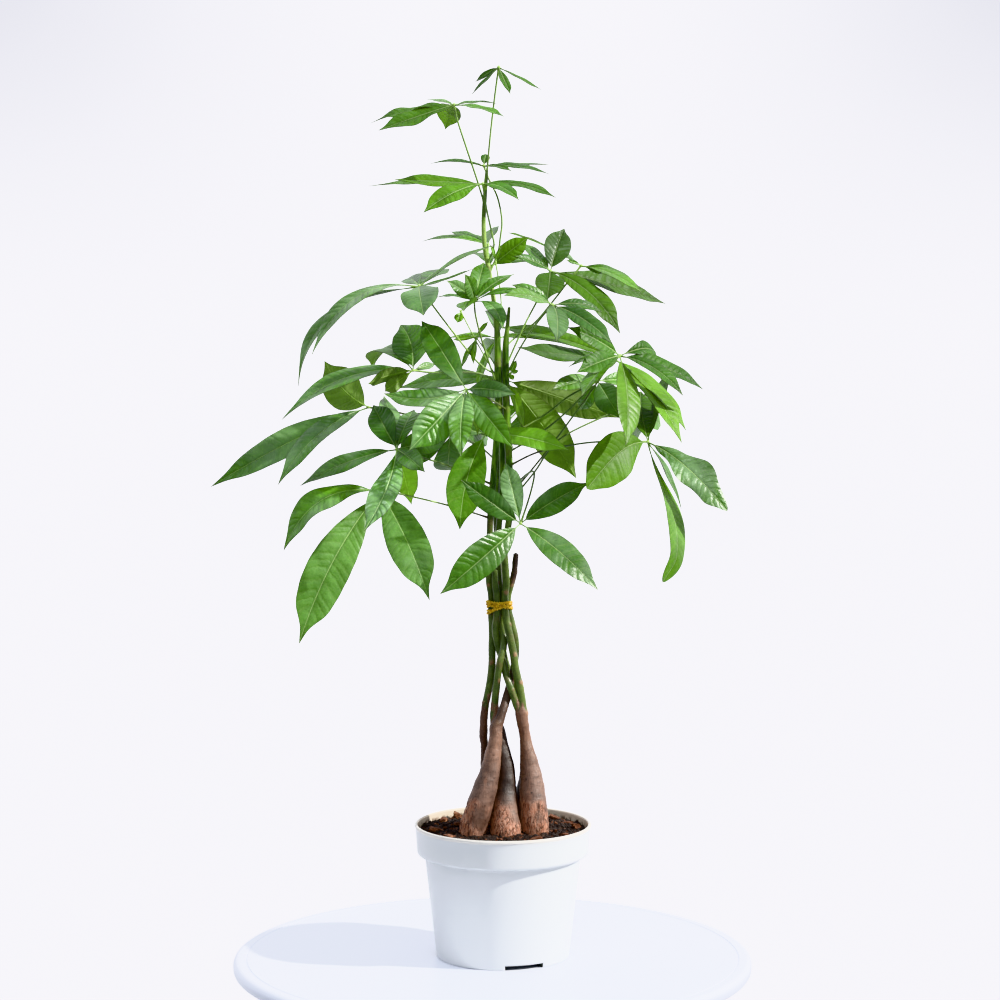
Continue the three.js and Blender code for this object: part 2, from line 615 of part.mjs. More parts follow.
    leaflets: [[24, 691, -26, 20, 3], [-24, 676, -92, 10, 3], [30, 668, -100, 8, 4]],
  },
  { // 23
    path: [[0, 572, -9.5], [-2, 584, -24], [-5, 596, -40]],
    leaflets: [
      [-52, 596, -58, 3, 2], [36, 594, -62, 5, 3], [-24, 546, -30, 8, 4], [-16, 622, -92, 8, 3],
      [-8, 574, -128, 14, 6],
    ],
  },
  { // 24
    path: [[4.6, 502, 0], [40, 523, -16], [62, 540, -28], [90, 555, -42]],
    leaflets: [
      [46, 546, 12, 14, 4], [112, 519, 6, 26, 4], [74, 528, -70, 14, 5], [132, 552, -80, 14, 5],
    ],
  },
  { // 25
    path: [[7, 440, 2], [30, 468, -10], [53, 499, -22], [100, 523, -44], [118, 531, -52]],
    leaflets: [
      [150, 512, -110, 18, 6], [126, 496, -122, 18, 6], [160, 535, -90, 14, 5],
    ],
  },
  { // 26, at the back on the left
    path: [[-5.5, 478, -18], [-24, 494, -52], [-50, 506, -92]],
    leaflets: [
      [-98, 482, -150, 30, 8], [-52, 470, -190, 30, 10], [-14, 500, -170, 22, 7],
      [-92, 524, -90, 14, 5],
    ],
  },
  { // 27, at the back
    path: [[-4, 508, -19.5], [8, 520, -60], [18, 530, -104]],
    leaflets: [
      [46, 496, -170, 24, 8], [14, 494, -206, 32, 10], [-16, 520, -170, 22, 7], [38, 520, -140, 16, 6],
    ],
  },
];

// How wide the blade is along its length, 0 to 1, from its short stalk to its drip tip.
const STALK_SHARE = 0.06;
function bladeWidth(s) {
  const x = Math.min(Math.max((s - STALK_SHARE) / (1 - STALK_SHARE), 0), 1);
  const near = Math.min(Math.max((x - 0.7) / 0.3, 0), 1);
  const drip = 1 - 0.45 * near * near * (3 - 2 * near);
  return 3.48 * Math.pow(x * (1 - x), 0.9) * drip;
}
const BROAD_STATIONS = [0, 0.08, 0.21, 0.4, 0.62, 0.83, 1];
const MIDDLE_STATIONS = [0, 0.09, 0.28, 0.52, 0.79, 1];
const SLIM_STATIONS = [0, 0.12, 0.36, 0.7, 1];
const BROAD_WIDTH = 28; // wider leaflets have more stations along them
const SLIM_WIDTH = 17; // a slimmer leaflet has a flat section and fewer stations

function leaflet(hub, [u, z, t, seen, rise, sweep = 0, skew = 0]) {
  const tip = at(u, z, t);
  const along = tip.clone().sub(hub);
  const base = hub.clone().add(along.clone().normalize().multiplyScalar(HUB_RADIUS * 0.4));
  along.copy(tip).sub(base);
  const length = along.length();
  along.normalize();
  const facing = new THREE.Vector3(0, -1, 0);
  facing.sub(along.clone().multiplyScalar(facing.dot(along))).normalize();
  const side = new THREE.Vector3().crossVectors(facing, along);
  if (side.z < 0) {
    side.negate();
  }
  const width = Math.max(Math.abs(seen), Math.min(NATURAL_WIDTH * length, 30));
  const lean = Math.asin(seen / width);
  const normal = side.clone().multiplyScalar(Math.cos(lean)).add(
    facing.clone().multiplyScalar(Math.sin(lean)),
  );
  const bow = normal.clone().multiplyScalar(rise).add(side.clone().multiplyScalar(sweep));
  const positions = [];
  const centre = (s) => base.clone()
    .add(along.clone().multiplyScalar(length * s))
    .add(bow.clone().multiplyScalar(4 * s * (1 - s) * (1 + skew * (2 * s - 1))));
  const slim = width < SLIM_WIDTH;
  const broad = width > BROAD_WIDTH ? BROAD_STATIONS : MIDDLE_STATIONS;
  const stations = slim ? SLIM_STATIONS : broad;
  const rim = slim ? [-1, 1] : [-1, 0, 1];
  stations.forEach((s) => {
    const p = centre(s);
    const direction = centre(Math.min(s + 0.02, 1)).sub(centre(Math.max(s - 0.02, 0))).normalize();
    const up = normal.clone()
      .sub(direction.clone().multiplyScalar(normal.dot(direction)))
      .normalize();
    const across = new THREE.Vector3().crossVectors(direction, up);
    const half = Math.max((width / 2) * bladeWidth(s), 0.7);
    for (const x of rim) {
      for (const h of [LEAF_THICKNESS / 2, -LEAF_THICKNESS / 2]) {
        const lift = slim ? 0 : half * LEAF_FOLD * Math.abs(x);
        positions.push(
          ...p.clone()
            .add(across.clone().multiplyScalar(half * x))
            .add(up.clone().multiplyScalar(lift + h))
            .toArray(),
        );
      }
    }
  });
  // Corners of a section: even ones on top, odd ones beneath, from one margin to the other. Both
  // faces are split along the same diagonals.
  const ring = rim.length * 2;
  const index = [];
  for (let i = 0; i < stations.length - 1; i++) {
    for (let k = 0; k < rim.length - 1; k++) {
      const m = i * ring + 2 * k;
      const n = m + ring;
      index.push(m, m + 2, n + 2, m, n + 2, n);
      index.push(m + 1, n + 3, m + 3, m + 1, n + 1, n + 3);
    }
    const left = i * ring;
    const right = left + ring - 2;
    index.push(left + 1, left, left + ring, left + 1, left + ring, left + ring + 1);
    index.push(right, right + 1, right + ring + 1, right, right + ring + 1, right + ring);
  }
  const end = (stations.length - 1) * ring;
  for (let k = 0; k < rim.length - 1; k++) {
    const m = 2 * k;
    index.push(m, m + 1, m + 3, m, m + 3, m + 2);
    index.push(end + m, end + m + 3, end + m + 1, end + m, end + m + 2, end + m + 3);
  }
  const g = new THREE.BufferGeometry();
  g.setAttribute("position", new THREE.BufferAttribute(new Float32Array(positions), 3));
  g.setIndex(index);
  return solid(g);
}

function leafSolid({ path, leaflets }) {
  const rows = smoothPath(path.map((p, i) => [
    ...p, i === 0 ? PETIOLE_RADIUS * 1.5 : PETIOLE_RADIUS,
  ]), 1);
  const hub = at(...path[path.length - 1]);
  const ball = new THREE.IcosahedronGeometry(HUB_RADIUS, 0);
  ball.translate(hub.x, hub.y, hub.z);
  const parts = [solid(stemGeometry(rows, 5)), solid(ball)];
  leaflets.forEach((row) => parts.push(leaflet(hub, row)));
  const whole = clearTrunks.reduce((body, t) => body.subtract(t), join(parts));
  return mainBody(whole);
}

LEAVES.forEach((leaf, i) => {
  addMesh(`leaf_${String(i + 1).padStart(2, "0")}`, leafSolid(leaf), 0x3d7a2c, 0.5);
});

export default group;
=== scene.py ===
"""A potted money tree: pot, soil, braided trunks, tie and leaves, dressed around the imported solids.

The tables hold millimetres as seen from the front, meshes are in metres. Run as a script.
"""

import math
import random

import bmesh
import bpy
import numpy as np
from bpy.props import FloatProperty, FloatVectorProperty, IntProperty, PointerProperty
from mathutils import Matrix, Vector, noise


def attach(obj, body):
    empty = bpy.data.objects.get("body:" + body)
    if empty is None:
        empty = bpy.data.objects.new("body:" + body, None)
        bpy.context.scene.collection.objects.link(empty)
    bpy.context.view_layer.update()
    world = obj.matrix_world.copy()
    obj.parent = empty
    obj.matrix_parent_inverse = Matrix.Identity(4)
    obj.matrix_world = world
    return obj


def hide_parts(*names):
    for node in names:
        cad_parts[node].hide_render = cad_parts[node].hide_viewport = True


bl_info = {
    "name": "Potted money tree",
    "version": (1, 0, 0),
    "blender": (4, 5, 0),
    "location": "3D View > Sidebar > Money tree",
    "description": "Builds a potted money tree around its packed solids",
    "category": "Add Mesh",
}

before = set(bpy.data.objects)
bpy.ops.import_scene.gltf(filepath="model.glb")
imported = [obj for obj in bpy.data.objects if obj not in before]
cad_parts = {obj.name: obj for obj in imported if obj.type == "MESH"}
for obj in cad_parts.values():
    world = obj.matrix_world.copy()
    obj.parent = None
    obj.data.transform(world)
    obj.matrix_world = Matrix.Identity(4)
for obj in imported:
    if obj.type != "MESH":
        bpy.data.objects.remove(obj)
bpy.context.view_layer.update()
BODY = "root"
MM = 0.001

# About a full turn in radians, for waves and drawn angles.
TURN = 6.28

# Where the plant is seen from: distance in front of the pot's axis, height and side, in mm.
VIEW_DISTANCE = 2890.0
VIEW_HEIGHT = 735.0
VIEW_SIDE = -2.7
VIEW_PITCH = 5.8
FOCAL_PIXELS = 3050.0
FRAME_PIXELS = 1000.0
SENSOR = 36.0

# Pot and soil in mm, the notches' half angle and places in degrees.
POT_HEIGHT = 129.0
RIM_RADIUS = 85.0
BAND_LOW_RADIUS = 82.6
BAND_BOTTOM = 100.0
BAND_CURVE = 3.4
BODY_TOP_RADIUS = 75.4
FOOT_RADIUS = 64.1
POT_WALL = 1.9
FLOOR_TOP = 6.9
LIP_WIDE = 1.55
LIP_HIGH = 1.75
NOTCH_HEIGHT = 4.7
NOTCH_HALF_ANGLE = 17.3
NOTCH_ANGLES = (-71.0, 49.0, 169.0)
NOTCH_DEPTH = 15.0
SOIL_EDGE = 121.0
SOIL_RISE = 3.2
SOIL_GAP = 0.35
SOIL_REACH = 79.2

# Leaf and stem sizes in mm.
NATURAL_WIDTH = 0.3
WIDEST_BLADE = 30.0
HUB_RADIUS = 2.3
PETIOLE_RADIUS = 0.95
PETIOLE_SIDES = 10
YOUNG_SLIM = 0.72
STALK_SHARE = 0.06
STEM_SIDES = 32
STEM_STEP = 1.6
STEM_END = np.linspace(1.0, 0.35, 4)[1:]
NEVER_DRY = 999.0

# Tie in mm: half its width across and in depth, and its middle.
TIE_ACROSS = 11.3
TIE_DEPTH = 13.6
TIE_CENTRE = (-3.3, -1.9)
TIE_STEPS = 96

# Wires of the tie: radius in m, and how often a pair turns in each m.
WIRE_RADIUS = 0.0006
WIRE_TWIST = 190.0

# Table in mm.
TABLE_EDGE = 6.0
TABLE_THICK = 16.0
TABLE_SHIFT = (-10.0, 0.0, -0.05)
GROOVE = ((12.0, 0.0), (12.8, -0.7), (13.6, 0.0))

# Fixed colours of the finishes and the room, in linear light. Pairs go from a pattern's low to its high.
# Painted shade beside the midrib.
RIB_SHADE = (0.015, 0.06, 0.01)
# Pale colour of the glints and sheen painted on the leaves.
PAINTED_GLOSS_COLOUR = (0.46, 0.64, 0.42)
MIDRIB = (0.42, 0.6, 0.24)
LEAF_EDGE = (0.06, 0.055, 0.03)
GLOW_FRESH = (0.56, 0.78, 0.1)
GLOW_VEIN = (0.16, 0.3, 0.03)
GLOW_EDGE = (0.1, 0.09, 0.02)
STALK_LOW = ((0.045, 0.08, 0.02), (0.12, 0.2, 0.04))
STALK_HIGH = ((0.1, 0.19, 0.035), (0.26, 0.42, 0.1))
STALK_BROWN = (0.06, 0.036, 0.026)
BARK_DARK = (0.07, 0.042, 0.032)
BARK_PALE = (0.215, 0.13, 0.096)
BARK_RUST = (0.28, 0.13, 0.075)
BARK_FIBRE = (0.045, 0.026, 0.02)
BARK_RING = (0.05, 0.03, 0.023)
BARK_KNOT = (0.02, 0.012, 0.01)
BARK_WARM_AND_PAINTED_LIGHT = (0.33, 0.17, 0.1)
FLAKE_PALE = (0.45, 0.27, 0.195)
FLAKE_RED = (0.2, 0.075, 0.04)
FLAKE_LIGHT = (0.56, 0.4, 0.34)
FLAKE_CRACK_AND_PAINTED_SHADE = (0.018, 0.008, 0.006)
STEM_PALE = (0.12, 0.17, 0.045)
STEM_MIDDLE = ((0.028, 0.075, 0.008), (0.13, 0.25, 0.03))
STEM_HIGH = ((0.15, 0.26, 0.045), (0.36, 0.5, 0.15))
STEM_CORK = (0.13, 0.1, 0.05)
SCAR = ((0.12, 0.06, 0.03), (0.36, 0.21, 0.13))
POT_CLOUD = (0.57, 0.592, 0.622)
POT_SCUFF = (0.58, 0.6, 0.64)
POT_STAIN_AND_PAINTED_GLOW = (0.72, 0.64, 0.53)
POT_DIRT = (0.1, 0.055, 0.035)
NOTCH_PAINTED_SHADE = ((0.012, 0.014, 0.01), (0.05, 0.05, 0.035))
SOIL_PALE = (0.055, 0.03, 0.02)
CHIP_PALE = (0.3, 0.14, 0.075)
TIE_DARK = (0.5, 0.27, 0.012)
TABLE = ((0.82, 0.845, 0.93), (0.78, 0.82, 0.92))
TABLE_SHADE = (0.5, 0.54, 0.64)
WALL_LIT = (1.85, 1.83, 1.93)
WALL_CORNER = (0.92, 0.92, 1.0)
ROOM_LOW = (0.39, 0.41, 0.455)
ROOM_HIGH = (0.95, 0.98, 1.05)
ROOM_WINDOW = (1.7, 1.8, 1.95)
ROOM_BACK = (1.4, 1.4, 1.5)

# Trunks and stems. runs: from the soil up, [across, height, toward the front, radius]. bark: height
# where the brown bark gives way to green stem, by run. flake: height up to which the bark flakes
# orange. dusk: heights where a painted shade on a neck lying in shade begins, is
# full and ends, and its depth. scars: leaf scars as seen from the front, [across, height, size].
# dry: height above which a cut stem has dried brown, darkened through the same mask.
TRUNKS = {
    "trunk_a": {
        "bark": [276], "flake": 143, "dusk": (214, 238, 300, 0.72), "dry": 364,
        "scars": [[-5, 226, 1.6], [13.5, 372, 1.5], [9, 360, 1.5]],
        "runs": [
            [
                [-30, 95, 24, 8.5], [-29.5, 119, 24, 12.5], [-24, 140, 24, 12.8], [-18, 160, 23, 11.8],
                [-12.7, 178, 20.5, 9.7], [-9.5, 195, 18.5, 7.9], [-7.3, 210, 17, 6.6],
                [-6.4, 222, 15.5, 6.1], [-2.8, 231, 13.5, 4.7], [0.3, 240, 10.5, 4.5],
                [3.5, 250, 5.6, 4.1], [6.2, 262, 0.4, 3.7], [9.2, 273, -0.5, 3.6], [11.4, 285, -1, 3.5],
                [12.5, 297, -0.5, 3.5], [11.5, 310, 0, 3.5], [8.5, 323, -1, 3.5], [5.2, 336, -1.5, 3.5],
                [4.8, 349, -1.5, 3.4], [7.6, 359, 0, 3.2], [10.2, 369, 1, 3], [11.6, 379, 1.5, 2.9],
                [12.6, 390, 2, 2.6],
            ],
        ],
    },
    "trunk_b": {
        "bark": [246], "flake": 150, "dusk": (138, 172, 228, 1),
        "scars": [[-3.4, 267, 1.6], [-4, 362, 1.3]],
        "runs": [
            [
                [3, 95, 25, 10.5], [3, 117, 24, 14.8], [2, 140, 18, 12.6], [2.2, 158, 12, 11],
                [3, 175, 8, 9.4], [1.3, 190, 5, 8.4], [-2.4, 205, 3, 7.8], [-5, 219, 1.5, 7.3],
                [-7, 228, 0.5, 5.4], [-8, 237, 0, 4.2], [-7.3, 250, 1, 3.7], [-6.3, 260, 3, 3.6],
                [-5, 271, 6, 3.5], [-3, 285, 9, 3.4], [0.2, 297, 6.4, 3.4], [0.9, 304, 3.2, 3.4],
                [0.6, 312, -0.4, 3.4], [-1.6, 321, -1.6, 3.4], [-2.9, 331, -1.7, 3.4],
                [-2.8, 350, -1.6, 3.3], [-4, 368, -3, 3.2], [-5, 388, -3.5, 3.1], [-4, 412, -4, 3],
                [-1.5, 440, -6, 3], [-0.5, 470, -7.5, 2.9], [-0.8, 505, -8.5, 2.8], [-1, 545, -9, 2.6],
                [-0.5, 572, -9.5, 2.2],
            ],
        ],
    },
    "trunk_c": {
        "bark": [243, 246], "flake": 152, "dusk": (600, 618, 700, 0.6),
        "scars": [[12, 293, 2], [17.6, 266, 2], [23.5, 236, 2], [3, 353, 2.2], [8, 322, 1.4]],
        "runs": [
            [
                [31, 95, 16, 9.5], [31, 117, 16, 13.2], [29.7, 138, 14, 13.6], [28.6, 155, 11, 12.8],
                [27.3, 171, 9, 11.2], [25.2, 188, 8, 9], [22.7, 203, 7.5, 6.4], [21.2, 214, 7, 5.4],
                [19.3, 226, 7.5, 6], [17.8, 236, 8, 6.2], [18.3, 245, 8, 4.6], [17.5, 253, 8, 4.1],
                [16.2, 261, 8, 4], [13.9, 271, 8, 3.9], [11.8, 281, 8, 3.8], [10.6, 291, 8, 3.8],
                [8.4, 302, 8, 3.7], [6, 314, 7.8, 3.6], [3.4, 326, 6.5, 3.5], [2, 338, 5.6, 3.5],
                [2, 350, 5.6, 3.5], [3.2, 363, 5.5, 3.5], [2.2, 380, 5, 3.4], [1.6, 393, 4.5, 3.3],
                [3.6, 407, 4, 3.3], [6.5, 427, 3, 3.3], [7, 450, 1, 3.4], [5.8, 480, 0, 3.6],
                [4.4, 510, -0.5, 3.7], [3, 540, -1, 3.7], [2.5, 570, -1, 3.6], [2.8, 590, -1.5, 3.1],
                [4.3, 606, -2, 2.1], [6, 625, -2, 1.5],
            ],
            [
                [17.4, 231, 8, 3.6], [15.8, 238, 8.6, 4], [13.4, 244, 9, 3.9], [10.6, 252, 9.5, 3.6],
                [7.4, 261, 9.5, 3.4], [4.1, 270, 7, 3.4], [1.8, 278, 3, 3.3], [0.3, 286, 1.5, 3.3],
                [-3.9, 298, -0.9, 3.3], [-6.7, 311, 0.3, 3.3], [-7.2, 320, 2.8, 3.3],
                [-5.9, 331, 5.4, 3.3], [-5.8, 349, 5.6, 3.3], [-7.5, 361, 5.5, 3.2],
                [-7.6, 375, 5, 2.9],
            ],
        ],
    },
    "trunk_d": {
        "bark": [243], "flake": 138, "dusk": (120, 150, 252, 0.55),
        "scars": [[-11, 285, 1.9], [-13.5, 360, 1.7], [-19, 246, 1.6]],
        "runs": [
            [
                [-20, 95, -18, 8], [-20, 119, -17, 12], [-19, 140, -15, 11.6], [-17.6, 160, -12, 9.4],
                [-15.6, 177, -10, 6.4], [-16.8, 190, -8, 4.6], [-17.6, 202, -6, 3.8],
                [-18.5, 216, -5, 4.2], [-18.2, 230, -4.5, 3.9], [-16.6, 244, -3.5, 3.7],
                [-14, 257, -3, 3.6], [-11.8, 270, -2.5, 3.6], [-10.4, 285, -3.8, 3.6],
                [-10.4, 299, -5.8, 3.6], [-10.2, 312, -6.4, 3.5], [-10.4, 322, -4.8, 3.5],
                [-11, 332, -1.7, 3.4], [-11, 350, -0.6, 3.4], [-13.2, 363, 0, 3.3], [-13, 381, 0, 3.2],
                [-12.6, 402, 1, 3.1], [-12, 425, 2, 3.1], [-10, 452, 3, 3.2], [-7.5, 481, 4, 3.3],
                [-5.2, 511, 4, 3.3], [-4.6, 541, 4, 3.3], [-5, 571, 3, 3.3], [-5.2, 598, 2, 3.2],
                [-6, 606, 1.5, 2.6], [-8.5, 630, 0, 2.3], [-13, 658, -2, 2.3], [-17.2, 682, -3, 2.3],
                [-18.2, 705, -3, 2.2], [-17.2, 725, -3, 2.1], [-16.1, 742, -3, 1.9],
                [-15.2, 753, -3, 1.5],
            ],
        ],
    },
    "trunk_e": {
        "bark": [244], "flake": 140, "dusk": (120, 160, 260, 1),
        "scars": [[1, 310, 1.8]],
        "runs": [
            [
                [20, 95, -18, 8], [20.5, 119, -18, 12], [21.5, 148, -16.5, 11.4], [23.6, 172, -13, 8.4],
                [23.7, 190, -11, 6.2], [21.5, 210, -8, 4.6], [18.8, 229, -5.5, 3.9],
                [17, 243, -4.5, 3.7], [14.5, 253, -6, 3.6], [10.5, 264, -8.2, 3.5], [6, 275, -9.4, 3.5],
                [2.5, 286, -9, 3.4], [0, 298, -8.2, 3.4], [-1.6, 313, -8.8, 3.4],
                [-2.6, 328, -9.4, 3.4], [-2.6, 350, -9.4, 3.3], [-4, 380, -11.5, 3.2],
                [-6, 420, -14, 3.1], [-6, 460, -17, 3], [-4.4, 500, -19.5, 2.9], [-2.5, 540, -21, 2.7],
                [-1, 578, -22, 2.3],
            ],
        ],
    },
}

# Stations of the small knob where the leaflets meet: place along the stalk and radius.
HUB_KNOB = ((-2.0, 0.9), (-1.2, 1.25), (-0.3, 1.5), (0.5, 1.5), (1.1, 1.1), (1.5, 0.5))

